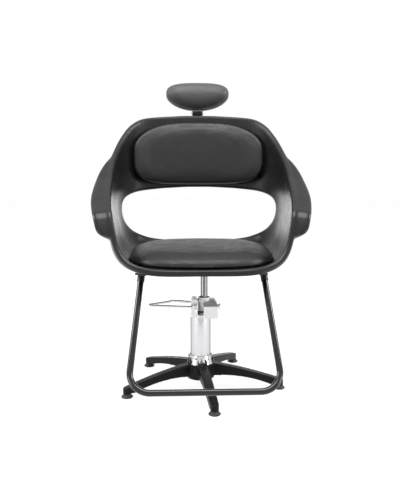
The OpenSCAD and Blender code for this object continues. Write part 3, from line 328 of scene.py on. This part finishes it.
def join_meshes(name, meshes):
    """One mesh of several, which keep their own skins."""
    corners, faces = [], []
    for mesh in meshes:
        start = len(corners)
        corners += [tuple(v.co) for v in mesh.vertices]
        faces += [tuple(start + i for i in f.vertices) for f in mesh.polygons]
    joined = bpy.data.meshes.new(name)
    joined.from_pydata(corners, [], faces)
    return joined


def curve_between(a, b, c, d, f):
    """The place a share f of the way from b to c, on a smooth curve that comes from a and goes on to d."""
    return (2 * b + (c - a) * f + (2 * a - 5 * b + 4 * c - d) * f * f + (3 * b - a - 3 * c + d) * f ** 3) / 2


def smooth_path(points, steps):
    """A smooth curve through points, as a list of close points."""
    rows = np.array(points, float)
    rows = np.vstack([2 * rows[0] - rows[1], rows, 2 * rows[-1] - rows[-2]])
    close = [curve_between(*rows[i - 1:i + 3], f) for i in range(1, len(rows) - 2)
             for f in np.arange(steps) / steps]
    return close + [rows[-2]]


axle_x, _, axle_z = middle_of("pedal_axle")
eye_front, eye_rear = -0.0043, 0.0663
eye_t = 0.008
eye_r = 0.0085
eye_bore_r = 0.0036
eye_edge = 0.001
pedal_bar_r = 0.004
pedal_reach = 0.157
pedal_tip_r = 0.009
pedal_tip_share = 0.47
pedal_rise = 0.009
pedal_bends = [(0.14, 0, 0.2), (0.46, 0.4, 1), (0.58, 0.56, 0.8)]
pedal_tip = (axle_x - pedal_reach + pedal_tip_r, eye_front + (eye_rear - eye_front) * pedal_tip_share)
bar_start_x = axle_x - eye_r + pedal_bar_r / 2


def toward(eye_y, to, along, across, rise=0):
    """A point between an eye and another place, by its shares along, across and of the pedal's rise."""
    return (bar_start_x + (to[0] - bar_start_x) * along, eye_y + (to[1] - eye_y) * across,
            axle_z + pedal_rise * rise)


rear_bar = [toward(eye_rear, pedal_tip, *bend) for bend in [(0, 0, 0)] + pedal_bends]
tip_turns = [math.radians(a) for a in range(85, 276, 10)]
tip_bend = [(pedal_tip[0] + pedal_tip_r * math.cos(a), pedal_tip[1] + pedal_tip_r * math.sin(a), axle_z)
            for a in tip_turns]
front_bar = [toward(eye_front, tip_bend[-1], share, share) for share in (0.85, 0.6, 0.3, 0)]
bar = tube_mesh("bar", smooth_path(rear_bar + tip_bend + front_bar, steps=6), pedal_bar_r)
eye_half = [(eye_bore_r, eye_t / 2 - eye_edge / 2), (eye_bore_r + eye_edge / 2, eye_t / 2),
            (eye_r - eye_edge, eye_t / 2), (eye_r, eye_t / 2 - eye_edge)]
eye_profile = [(r, -h) for r, h in eye_half] + [(r, h) for r, h in reversed(eye_half)]
eyes = [lathe_mesh("eye", eye_profile, (axle_x, y, axle_z), (0, 1, 0)) for y in (eye_front, eye_rear)]
pedal_chrome = finish("pedal_chrome", (0.78, 0.78, 0.79), 0.18, metallic=1.0, drift=0.06,
                      relief=(0.003, 0.00003), worn=(0.55, 0.54, 0.52))
new_piece("pedal_bar", join_meshes("pedal_bar", [bar] + eyes), pedal_chrome, "pedal",
          ["pedal_loop"])
# The plunger is coloured near black as painted shade, for the slot between the cheek and the box where it
# stands.
plunger_shade_black = finish("plunger_shade_black", (0.03, 0.03, 0.03), 0.35, metallic=0.6, relief=(0.0006, 0.00002))
coat(["pedal_axle", "axle_caps"], zinc)
coat(["pedal_cam"], pedal_chrome)
coat(["pump_plunger"], plunger_shade_black)

# Piston rod: steel, ground and hard-chromed, with a rubber seal in the groove of its piston.
# The pump's oil lifts it, and the seat turns on its top.
rod_chrome = finish("rod_chrome", (0.18, 0.18, 0.19), 0.09, metallic=1.0, drift=0.03,
                    relief=(0.005, 0.00001), Specular_Tint=(0.9, 0.9, 0.9, 1))
coat(["piston_rod"], rod_chrome)
coat(["piston_seal"], black_rubber)

# Seat plate: pressed steel under the shell, bolted into it, with a socket welded below for the rod's top.
# Plate and socket are painted black. The socket turns on a bronze bush and stands on a bronze washer.
bronze = finish("bronze", (0.50, 0.33, 0.14), 0.36, metallic=1.0, drift=0.15, relief=(0.0008, 0.00003))
bracket_black = finish("bracket_black", (0.018, 0.018, 0.018), 0.42, relief=(0.0011, 0.00006),
                       worn=(0.12, 0.12, 0.12))
coat(["thrust_washer", "swivel_bush"], bronze)
coat(["seat_socket", "seat_plate"], bracket_black)
coat(["seat_bolts"], zinc)

# Footrest: one steel tube bent into a loop that slopes forward, enamelled black and polished.
# Its ends are clamped in two brackets, which are bolted up under the seat.
column_y = 0.040
foot_tube_r = 0.0095
foot_bar_y, foot_bar_z = -0.420 + column_y, 0.130
foot_bar_half_w, foot_top_half_w = 0.217, 0.186
foot_top_y, foot_top_z = -0.205 + column_y, 0.417
foot_bend_r = 0.058
foot_bend_steps = 24
foot_rise, foot_run = foot_top_z - foot_bar_z, foot_top_y - foot_bar_y
foot_plane_l = math.hypot(foot_rise, foot_run)
foot_narrowing = foot_bar_half_w - foot_top_half_w
foot_splay = math.atan2(foot_narrowing, foot_plane_l)
foot_turn = math.pi / 2 + foot_splay
foot_tangent = foot_bend_r * math.tan(foot_turn / 2)
foot_leg_l = math.hypot(foot_narrowing, foot_plane_l)
foot_bar_half_l = foot_bar_half_w - foot_tangent
foot_up = Vector((0, foot_run, foot_rise)).normalized()


def foot_point(across, up):
    """A point in the plane of the footrest, from its middle below."""
    return Vector((across, foot_bar_y, foot_bar_z)) + foot_up * up


foot_right = [foot_point(foot_bar_half_l * share, 0) for share in (0, 0.35, 0.7, 0.9)]
for i in range(foot_bend_steps + 1):
    a = foot_turn * i / foot_bend_steps
    foot_right.append(foot_point(foot_bar_half_l + foot_bend_r * math.sin(a),
                                 foot_bend_r * (1 - math.cos(a))))
for share in (0.05, 0.2, 0.4, 0.6, 0.8, 0.95, 1):
    reach = foot_tangent + (foot_leg_l - foot_tangent) * share
    foot_right.append(foot_point(foot_bar_half_w - reach * math.sin(foot_splay),
                                 reach * math.cos(foot_splay)))
foot_left = [Vector((-p.x, p.y, p.z)) for p in reversed(foot_right[1:])]
black_chrome = finish("black_chrome", (0.006, 0.006, 0.006), 0.08, drift=0.06, relief=(0.004, 0.00001),
                      IOR=1.5)
new_piece("footrest_loop", tube_mesh("footrest_loop", foot_left + foot_right, foot_tube_r, sides=32),
          black_chrome, "seat", ["footrest_tube"])
coat(["footrest_brackets", "footrest_bolts"], bracket_black)

# Shell: seat, back and armrests in one moulding of fine-grained black plastic, with an opening in the back.
# Its wall is a bowl cut along one edge, and the armrests are folded out from that edge.
shell_half_w = 0.297
pan_z = 0.449
back_h = 0.461
bowl_front = 0.392
bowl_back = 0.240
back_lean = 0.080
shell_wall = 0.021
arm_w = 0.046
arm_t = 0.040
arm_step = 0.0035
rim_round = 0.006
bowl_square = 3

# The bowl is drawn as a flat map, from the middle of the pan outward in rows. These are width and height
# at each row, as shares of the half width and of the back's height.
bowl_profile = np.array([
    (0, 0), (0.35, 0), (0.70, 0), (0.816, 0.022), (0.881, 0.08), (0.92, 0.19), (0.948, 0.36), (0.962, 0.56),
    (0.952, 0.78), (0.925, 1.0), (0.90, 1.2)], float)

# On that map the rim runs from the front to the back, and the opening from the middle of its lower edge to
# that of its upper edge, both as degrees from the front and rows from the middle. The rim's third value is
# how much of the armrest's width stands out there.
rim = [(0, 2.05, 0), (14, 2.1, 0), (27, 2.3, 0), (38, 2.72, 0), (46, 3.28, 0), (51, 3.85, 0),
       (54.3, 4.33, 0), (56.9, 4.79, 0), (58.3, 5.08, 0.03), (59.1, 5.26, 0.6), (59.9, 5.43, 0.85),
       (61.2, 5.65, 0.91), (62.9, 5.87, 0.93), (66, 6.05, 0.96), (75, 6.43, 1), (84, 6.79, 0.87),
       (93.5, 7.13, 0.68), (103, 7.43, 0.41), (111.5, 7.71, 0.05), (119, 8.04, 0), (126, 8.39, 0),
       (133, 8.73, 0), (142, 8.96, 0), (154, 9.04, 0), (167, 9.08, 0), (180, 9.09, 0)]
opening = [(180, 3.6), (170, 3.61), (160, 3.68), (151, 3.8), (144, 3.98), (138, 4.23),
           (132.5, 4.5), (128, 4.76), (125.3, 4.95), (123.2, 5.1), (121.6, 5.25),
           (120, 5.45), (119.2, 5.62), (119.2, 5.78), (120, 5.93), (122, 6.05),
           (125, 6.15), (129, 6.23), (133.5, 6.3), (138.5, 6.36), (144, 6.4),
           (150, 6.43), (156.5, 6.46), (164, 6.48), (172, 6.5), (180, 6.5)]


def along_rows(rows, at, mirrored=False):
    """A smooth curve through the rows of a table; a mirrored one crosses the middle square on."""
    last = len(rows) - 1
    place = min(max(at, 0), last)
    i = min(int(place), last - 1)
    b, c = rows[i], rows[i + 1]
    flip = np.array([-1, 1])
    a = rows[i - 1] if i > 0 else (rows[1] * flip if mirrored else 2 * b - c)
    d = rows[i + 2] if i + 2 <= last else (rows[last - 1] * flip if mirrored else 2 * c - b)
    return curve_between(a, b, c, d, place - i)


def on_map(place):
    """A place's coordinates on the map, from its degrees and its row."""
    turn = math.radians(place[0])
    return (place[1] * math.sin(turn), -place[1] * math.cos(turn))


rim_map = np.array([on_map(p) for p in rim])
opening_map = np.array([on_map(p) for p in opening])
arm_share = np.array([[p[2]] for p in rim])
map_middle = 0.002
map_step = 0.02
near_rim = 0.97


def bowl(place):
    """A point of the bowl's inside, from its place on the map."""
    row = max(math.hypot(*place), map_middle)
    s, c = place[0] / row, place[1] / row
    wide, high = along_rows(bowl_profile, row)
    k = (abs(s) ** bowl_square + abs(c) ** bowl_square) ** (-1 / bowl_square)
    reach = bowl_back + back_lean * high if c > 0 else bowl_front
    return np.array((shell_half_w * wide * k * s, reach * wide * k * c + column_y, pan_z + back_h * high))


def unit(v):
    return v / np.linalg.norm(v)


def bowl_out(place):
    """The way that leads straight out of the bowl at a place on the map."""
    across = bowl(place + (map_step, 0)) - bowl(place - (map_step, 0))
    back = bowl(place + (0, map_step)) - bowl(place - (0, map_step))
    return unit(np.cross(back, across))


def shell_map(row, out):
    """A place on the map, a share of the way from the opening out to the rim."""
    inner = along_rows(opening_map, row, mirrored=True)
    return inner + (along_rows(rim_map, row, mirrored=True) - inner) * out


def blend(a, b, share):
    return a + (b - a) * share


def shell_edge(row):
    """The section of the edge: outward from the wall's inside, and down from the edge."""
    share = max(along_rows(arm_share, row)[0], 0) if row < len(rim) - 1 else 0
    w, g, r = arm_w * share, min(share / 0.3, 1), rim_round
    return [(0, r * 2.2), (r * 0.3, r * 0.4), (r * 1.3, 0), (shell_wall - r * 1.1, 0),
            (shell_wall - r * 0.2 * (1 - g), blend(r * 0.6, arm_step, g)),
            (shell_wall + w * 0.5, blend(r * 1.4, arm_step * 0.5, g)),
            (shell_wall + w - r * g, blend(r * 2, arm_step, g)),
            (shell_wall + w, blend(r * 2.5, arm_step + r * 1.4, g)),
            (shell_wall + w * 0.65, blend(r * 3, arm_t * 0.72, g)),
            (shell_wall, blend(r * 3.6, arm_t + r, g))]


def shell_ring(row, steps):
    """One section of the shell, from the opening out over the edge and back underneath."""
    edge = shell_edge(row)
    place = shell_map(row, 1)
    at, out = bowl(place), bowl_out(place)
    up = unit(at - bowl(shell_map(row, near_rim)))
    span = np.linalg.norm(bowl(shell_map(row, 0)) - at)
    first, last = edge[0][1] / span, edge[-1][1] / span
    inside = [bowl(shell_map(row, (1 - first) * j / steps)) for j in range(steps)]
    rim_part = [at + out * q[0] - up * q[1] for q in edge]
    outside = []
    for j in reversed(range(steps)):
        place = shell_map(row, (1 - last) * j / steps)
        outside.append(bowl(place) + bowl_out(place) * shell_wall)
    return inside + rim_part + outside


rings_per_row = 3
shell_steps = 12
right_rings = [shell_ring(i / rings_per_row, shell_steps) for i in range((len(rim) - 1) * rings_per_row + 1)]
left_rings = [[p * (-1, 1, 1) for p in ring] for ring in reversed(right_rings[1:-1])]
shell_rings = right_rings + left_rings
ring_count, ring_points = len(shell_rings), len(shell_rings[0])
shell_mesh = bpy.data.meshes.new("shell")
shell_mesh.from_pydata([tuple(p) for ring in shell_rings for p in ring], [], [
    (i * ring_points + j, i * ring_points + (j + 1) % ring_points,
     (i + 1) % ring_count * ring_points + (j + 1) % ring_points, (i + 1) % ring_count * ring_points + j)
    for i in range(ring_count) for j in range(ring_points)])
shell_plastic = finish("shell_plastic", (0.014, 0.014, 0.015), 0.30, drift=0.10, drift_size=0.2,
                       relief=(0.0007, 0.00004), worn=(0.06, 0.06, 0.061), edge=0.0012,
                       Specular_IOR_Level=0.3)
shell = new_piece("shell_moulding", shell_mesh, shell_plastic, "seat", ["seat_shell"])


def finer_skin(piece, levels):
    """Divides a piece's faces into smaller ones that round it off, and applies all its modifiers."""
    fine = piece.modifiers.new("fine_skin", "SUBSURF")
    fine.levels = fine.render_levels = levels
    settle(piece)


finer_skin(shell, levels=2)

# Seat cushion: foam on a plywood board, pulled over with black vinyl that is sewn along its side.
# The vinyl goes round the board's edge, so one pad stands for both. It is screwed down on the shell's pan.
board_t = 0.008
piece_gap = 0.0003
soft_gap = 0.0008
vinyl_start = 0.992
pad_pressure = 4
vinyl_stiffness = 2
cloth_quality = 6
swelling_moments = 20
pucker_waves = [((210, 0, 150), 0), ((137, -170, 0), 1.3)]


def rounded(half_w, up, down, top_square, low_square, count=96):
    """An outline that is squarer than an ellipse, with its own squareness above and below."""
    points = []
    for i in range(count):
        a = 2 * math.pi * (i + 0.5) / count
        n, h = (top_square, up) if math.sin(a) >= 0 else (low_square, down)
        points.append((half_w * math.copysign(abs(math.cos(a)) ** (2 / n), math.cos(a)),
                       h * math.copysign(abs(math.sin(a)) ** (2 / n), math.sin(a))))
    return points


def form_mesh(name, rings, first, last):
    """A closed form of rings between a first and a last point."""
    n = len(rings[0])
    corners = [first] + [p for ring in rings for p in ring] + [last]
    faces = [(0, 1 + (j + 1) % n, 1 + j) for j in range(n)]
    for i in range(len(rings) - 1):
        a = 1 + i * n
        faces += [(a + j, a + (j + 1) % n, a + n + (j + 1) % n, a + n + j) for j in range(n)]
    a = 1 + (len(rings) - 1) * n
    faces += [(a + j, a + (j + 1) % n, len(corners) - 1) for j in range(n)]
    mesh = bpy.data.meshes.new(name)
    mesh.from_pydata([tuple(p) for p in corners], [], faces)
    return mesh


def broad(moved, pairs, fixed, rounds=30):
    """Evens out how far points moved with that of their neighbours, so that only broad forms are left."""
    a, b = pairs.T
    near = np.maximum(np.bincount(a, minlength=len(moved)) + np.bincount(b, minlength=len(moved)), 1)
    for _ in range(rounds):
        drawn = [np.bincount(a, moved[b, k], len(moved)) + np.bincount(b, moved[a, k], len(moved))
                 for k in range(3)]
        moved = (moved + np.stack(drawn, 1) / near[:, None]) / 2
        moved[fixed] = 0
    return moved


def stuff(piece, voxel, most, stays):
    """Swells a pad under its own filling: cloth under pressure, held where it is glued down."""
    even_skin(piece, voxel, passes=4)
    settle(piece)
    mesh = piece.data
    before = np.array([v.co for v in mesh.vertices])
    fixed = stays(before)
    held = piece.vertex_groups.new(name="held")
    held.add([int(i) for i in np.flatnonzero(fixed)], 1.0, "REPLACE")
    filling = piece.modifiers.new("filling", "CLOTH").settings
    filling.use_pressure = True
    filling.uniform_pressure_force = pad_pressure
    filling.effector_weights.gravity = 0
    filling.vertex_group_mass = "held"
    filling.quality = cloth_quality
    filling.bending_stiffness = vinyl_stiffness
    scene = bpy.context.scene
    for moment in range(1, swelling_moments + 1):
        scene.frame_set(moment)
    graph = bpy.context.evaluated_depsgraph_get()
    swollen = piece.evaluated_get(graph).to_mesh()
    moved = np.array([v.co for v in swollen.vertices]) - before
    piece.modifiers.clear()
    scene.frame_set(1)
    reach = np.linalg.norm(moved, axis=1, keepdims=True)
    pairs = np.array([e.vertices[:] for e in mesh.edges])
    eased = broad(moved * most * np.tanh(reach / most) / np.maximum(reach, 1e-9), pairs, fixed)
    mesh.vertices.foreach_set("co", (before + eased).ravel())
    piece.vertex_groups.clear()
    finer_skin(piece, levels=1)


def sew(piece, off_seam, width, depth, pucker=0.00003):
    """Draws the vinyl in along a seam, with small puckers beside it."""
    mesh = piece.data
    place = np.array([v.co for v in mesh.vertices])
    normal = np.array([v.normal for v in mesh.vertices])
    off = off_seam(place)
    waves = sum(np.sin(place @ np.array(run) + start) for run, start in pucker_waves)
    drawn = depth * np.exp(-(off / width) ** 2) + pucker * waves * np.exp(-(off / (4 * width)) ** 2)
    mesh.vertices.foreach_set("co", (place - normal * drawn[:, None]).ravel())
    mesh.update()


seat_cushion_half_w = 0.232
seat_cushion_l = 0.424
seat_cushion_y = seat_cushion_l * -0.09 + column_y
seat_cushion_z = pan_z + piece_gap + board_t + piece_gap
seat_front_fill = 0.10
seat_side = 0.014
seat_crown = 0.017
seat_square = 3.1
pan_fill = 0.99
seat_seam_share = 0.75

# Rings of the pad in their order upward: below, size and height over the pan; above, size and the shares of
# the side's and the crown's height.
seat_under = [(0.5, 0.0004), (0.8, 0.0004), (0.94, 0.0006), (0.98, 0.0022), (0.995, 0.006)]
seat_over = [(1.0, 0.25, 0), (0.997, 0.65, 0), (0.983, 1, 0.08), (0.962, 1, 0.28), (0.93, 1, 0.46),
             (0.885, 1, 0.6), (0.82, 1, 0.73), (0.72, 1, 0.84), (0.55, 1, 0.93), (0.3, 1, 0.985)]
wall_rows = np.linspace(2, len(bowl_profile) - 1, 800)
wall_widths = np.array([along_rows(bowl_profile, row) for row in wall_rows])


def seat_plan(size):
    """The seat cushion's outline, which is filled further toward the knees."""
    half_l = seat_cushion_l / 2
    return [(x * size, (y * (1 + seat_front_fill) if y < 0 else y) * size + seat_cushion_y)
            for x, y in rounded(seat_cushion_half_w, half_l, half_l, seat_square, seat_square)]


def seat_ring(size, side, crown):
    """A ring of the seat cushion, by its size and its shares of the side's and the crown's height."""
    return [(x, y, seat_cushion_z + seat_side * side + seat_crown * crown) for x, y in seat_plan(size)]


def in_pan(size, up):
    """A ring of the seat cushion near the pan, kept inside the walls that rise beside it."""
    wide = np.interp((up - soft_gap) / back_h, wall_widths[:, 1], wall_widths[:, 0])
    ring = []
    for x, y in seat_plan(size):
        y -= column_y
        reach = bowl_back if y > 0 else bowl_front
        across, along = abs(x) / shell_half_w, abs(y) / reach
        filled = (across ** bowl_square + along ** bowl_square) ** (1 / bowl_square) / wide
        keep = min(1, pan_fill / filled)
        ring.append((x * keep, y * keep + column_y, pan_z + up))
    return ring


seat_mesh = form_mesh("seat_pad", [in_pan(size, up) for size, up in seat_under]
                      + [seat_ring(size * vinyl_start, side, crown) for size, side, crown in seat_over],
                      (0, seat_cushion_y, pan_z + seat_under[0][1]),
                      (0, seat_cushion_y, seat_cushion_z + seat_side + seat_crown))
vinyl = finish("vinyl", (0.013, 0.013, 0.0135), 0.45, drift=0.10, relief=(0.0004, 0.00003),
               cells=(0.0011, 0.00012), Specular_IOR_Level=0.4)
seat_pad = new_piece("seat_pad", seat_mesh, vinyl, "seat", ["seat_cushion", "seat_board"])
stuff(seat_pad, voxel=0.005, most=0.004, stays=lambda places: places[:, 2] < seat_cushion_z)
seat_seam_z = seat_cushion_z + seat_side * seat_seam_share
sew(seat_pad, lambda places: places[:, 2] - seat_seam_z, width=0.0026, depth=0.0005)

# Back cushion: foam on a bent plywood board, pulled over with the seat's black vinyl.
# It follows the curve of the back, and its board is screwed to the shell.
back_cushion_half_w = 0.244
back_up, back_down = 0.114, 0.117
back_square_top, back_square_low = 2.5, 4.0
back_cushion_z = pan_z + back_h * 0.72
back_side = 0.010
back_crown = 0.016
back_depth = soft_gap + board_t + piece_gap
back_glued = 0.003
back_seam_share = 0.7
slope_step = 0.0046
back_under = (0.3, 0.5, 0.75)
back_over = [(0.93, 0, 0), (0.985, 0.05, 0), (0.998, 0.3, 0), (1, 0.6, 0.03), (0.996, 0.85, 0.12),
             (0.985, 1, 0.24), (0.958, 1, 0.4), (0.90, 1, 0.58), (0.78, 1, 0.77), (0.6, 1, 0.9),
             (0.34, 1, 0.975)]
# The board is coloured near black as painted shade: its edge shows in the gap around the cushion, where shade
# falls.
plywood = finish("plywood", (0.020, 0.014, 0.010), 0.62, drift=0.2, drift_size=0.03, relief=(0.0009, 0.0001))
coat(["back_board"], plywood)


def back_at(x, z):
    """Points on the inside of the back, from their places across and their heights."""
    share = (z - pan_z) / back_h
    wide = np.interp(share, wall_widths[:, 1], wall_widths[:, 0])
    across = np.minimum(np.abs(x) / (shell_half_w * wide), 1)
    y = (bowl_back + back_lean * share) * wide * (1 - across ** bowl_square) ** (1 / bowl_square)
    return np.stack((x, y + column_y, z), -1)


def back_in(x, z):
    """The ways that lead straight in from the back at such points."""
    across = back_at(x + slope_step, z) - back_at(x - slope_step, z)
    up = back_at(x, z + slope_step) - back_at(x, z - slope_step)
    inward = -np.cross(up, across)
    return inward / np.linalg.norm(inward, axis=-1, keepdims=True)


def back_ring(size, depth):
    """A ring of the back cushion at a depth in front of the shell's wall."""
    flat = np.array(rounded(back_cushion_half_w, back_up, back_down, back_square_top, back_square_low)) * size
    x, z = flat[:, 0], flat[:, 1] + back_cushion_z
    return list(back_at(x, z) + back_in(x, z) * depth)


def off_wall(places):
    """How far points stand in front of the wall of the back."""
    x, z = places[:, 0], places[:, 2]
    return ((places - back_at(x, z)) * back_in(x, z)).sum(1)


back_middle, back_forward = back_at(0.0, back_cushion_z), back_in(0.0, back_cushion_z)
back_mesh = form_mesh("back_pad", [back_ring(size, back_depth) for size in back_under]
                      + [back_ring(size * vinyl_start, back_depth + back_side * side + back_crown * crown)
                         for size, side, crown in back_over],
                      back_middle + back_forward * back_depth,
                      back_middle + back_forward * (back_depth + back_side + back_crown))
back_pad = new_piece("back_pad", back_mesh, vinyl, "seat", ["back_cushion"])
stuff(back_pad, voxel=0.0042, most=0.004, stays=lambda places: off_wall(places) < back_depth + back_glued)
sew(back_pad, lambda places: off_wall(places) - back_depth - back_side * back_seam_share,
    width=0.0022, depth=0.0014)

# Headrest's slide: a flat steel bar runs in a pressed guide, which four screws hold on the rear of the back.
# A moulded hand knob clamps the bar at its height. Guide and bar are painted black.
knob_plastic = finish("knob_plastic", (0.020, 0.020, 0.020), 0.44, relief=(0.0008, 0.00005),
                      worn=(0.07, 0.07, 0.07))
coat(["headrest_guide", "headrest_bar"], bracket_black)
coat(["bar_knob"], knob_plastic)
coat(["guide_screws"], zinc)

# Headrest: foam on a pressed steel plate with a bright rim, pulled over with grey-black vinyl.
# Two lugs on the plate tilt on a pin through the top of the bar.
guide_z = pan_z + back_h * 0.815
guide_h = 0.100
pin_up = 0.107
pad_above_pin = 0.065
pad_half_w = 0.117
pad_h = 0.099
pad_t = 0.044
pad_up, pad_down = pad_h * 0.43, pad_h * 0.57
pad_square_top, pad_square_low = 3.0, 1.95
pad_start = 0.99
pad_sag = 0.006
pad_glued = 0.002
pad_seam_share = 0.18
pad_length_kept = 0.6
pad_mid_up = pin_up + pad_above_pin
plate_rear = 0.0008
plate_t = 0.003
plate_drop = 0.0025
plate_square_top, plate_square_low = 2.7, 1.9
rim_r = 0.0021
rim_wide, rim_deep = 0.97, 0.985
pad_back = plate_rear - plate_t - piece_gap
pad_rings = [(0.5, 0), (0.9, 0), (0.975, 0.05), (1, 0.16), (0.985, 0.28), (0.94, 0.42), (0.86, 0.56),
             (0.75, 0.69), (0.61, 0.80), (0.44, 0.90), (0.23, 0.97)]


def back_outer(z):
    """The point at a height on the rear of the back's middle."""
    return Vector(back_at(0.0, z) - back_in(0.0, z) * shell_wall)


guide_rise = back_outer(guide_z + guide_h / 2) - back_outer(guide_z - guide_h / 2)
guide_lean = math.atan2(guide_rise.y, guide_rise.z)
guide_at = back_outer(guide_z) + Vector((0, math.cos(guide_lean), -math.sin(guide_lean))) * piece_gap
lean = Matrix.Rotation(-guide_lean, 3, "X")
plate_out = np.array(lean @ Vector((0, -1, 0)))


def behind_back(x, away, up):
    """A place behind the back: away from it and up along it."""
    return guide_at + lean @ Vector((x, away, up))


def pad_ring(size, depth):
    """A ring of the headrest's pad, which keeps more of its length than of its height as it crowns."""
    length = 1 - (1 - size) * (1 - pad_length_kept * min(depth * 2, 1))
    sag = pad_sag * depth * (1 - size)
    return [behind_back(x * pad_start * length, pad_back - pad_t * depth,
                        pad_mid_up + y * size * pad_start - sag)
            for x, y in rounded(pad_half_w, pad_up, pad_down, pad_square_top, pad_square_low)]


def off_plate(places):
    """How far points stand in front of the headrest's plate."""
    return (places - np.array(guide_at)) @ plate_out + pad_back


head_mesh = form_mesh("headrest_pad", [pad_ring(size, depth) for size, depth in pad_rings],
                      behind_back(0, pad_back, pad_mid_up),
                      behind_back(0, pad_back - pad_t, pad_mid_up - pad_sag))
pad_vinyl = finish("pad_vinyl", (0.056, 0.056, 0.057), 0.56, drift=0.10, relief=(0.0004, 0.00003),
                   cells=(0.0011, 0.00012))
head_pad = new_piece("head_pad", head_mesh, pad_vinyl, "headrest", ["headrest_pad"])
stuff(head_pad, voxel=0.003, most=0.003, stays=lambda places: off_plate(places) < pad_glued)
sew(head_pad, lambda places: off_plate(places) - pad_t * pad_seam_share, width=0.0016, depth=0.0011)

plate_edge = [behind_back(x * rim_wide, plate_rear - plate_t / 2,
                          pad_mid_up - plate_drop + y * (rim_wide if y > 0 else rim_deep))
              for x, y in rounded(pad_half_w, pad_up, pad_down, plate_square_top, plate_square_low)]
rim_tube = tube_mesh("rim", plate_edge, rim_r, sides=12, closed=True)
plate_steel = finish("plate_steel", (0.38, 0.38, 0.39), 0.26, metallic=1.0, drift=0.06,
                     relief=(0.0012, 0.00002), worn=(0.4, 0.4, 0.4))
new_piece("pad_plate", join_meshes("pad_plate", [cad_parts["headrest_plate"].data, rim_tube]),
          plate_steel, "headrest", ["headrest_plate"])
coat(["headrest_pin"], zinc)
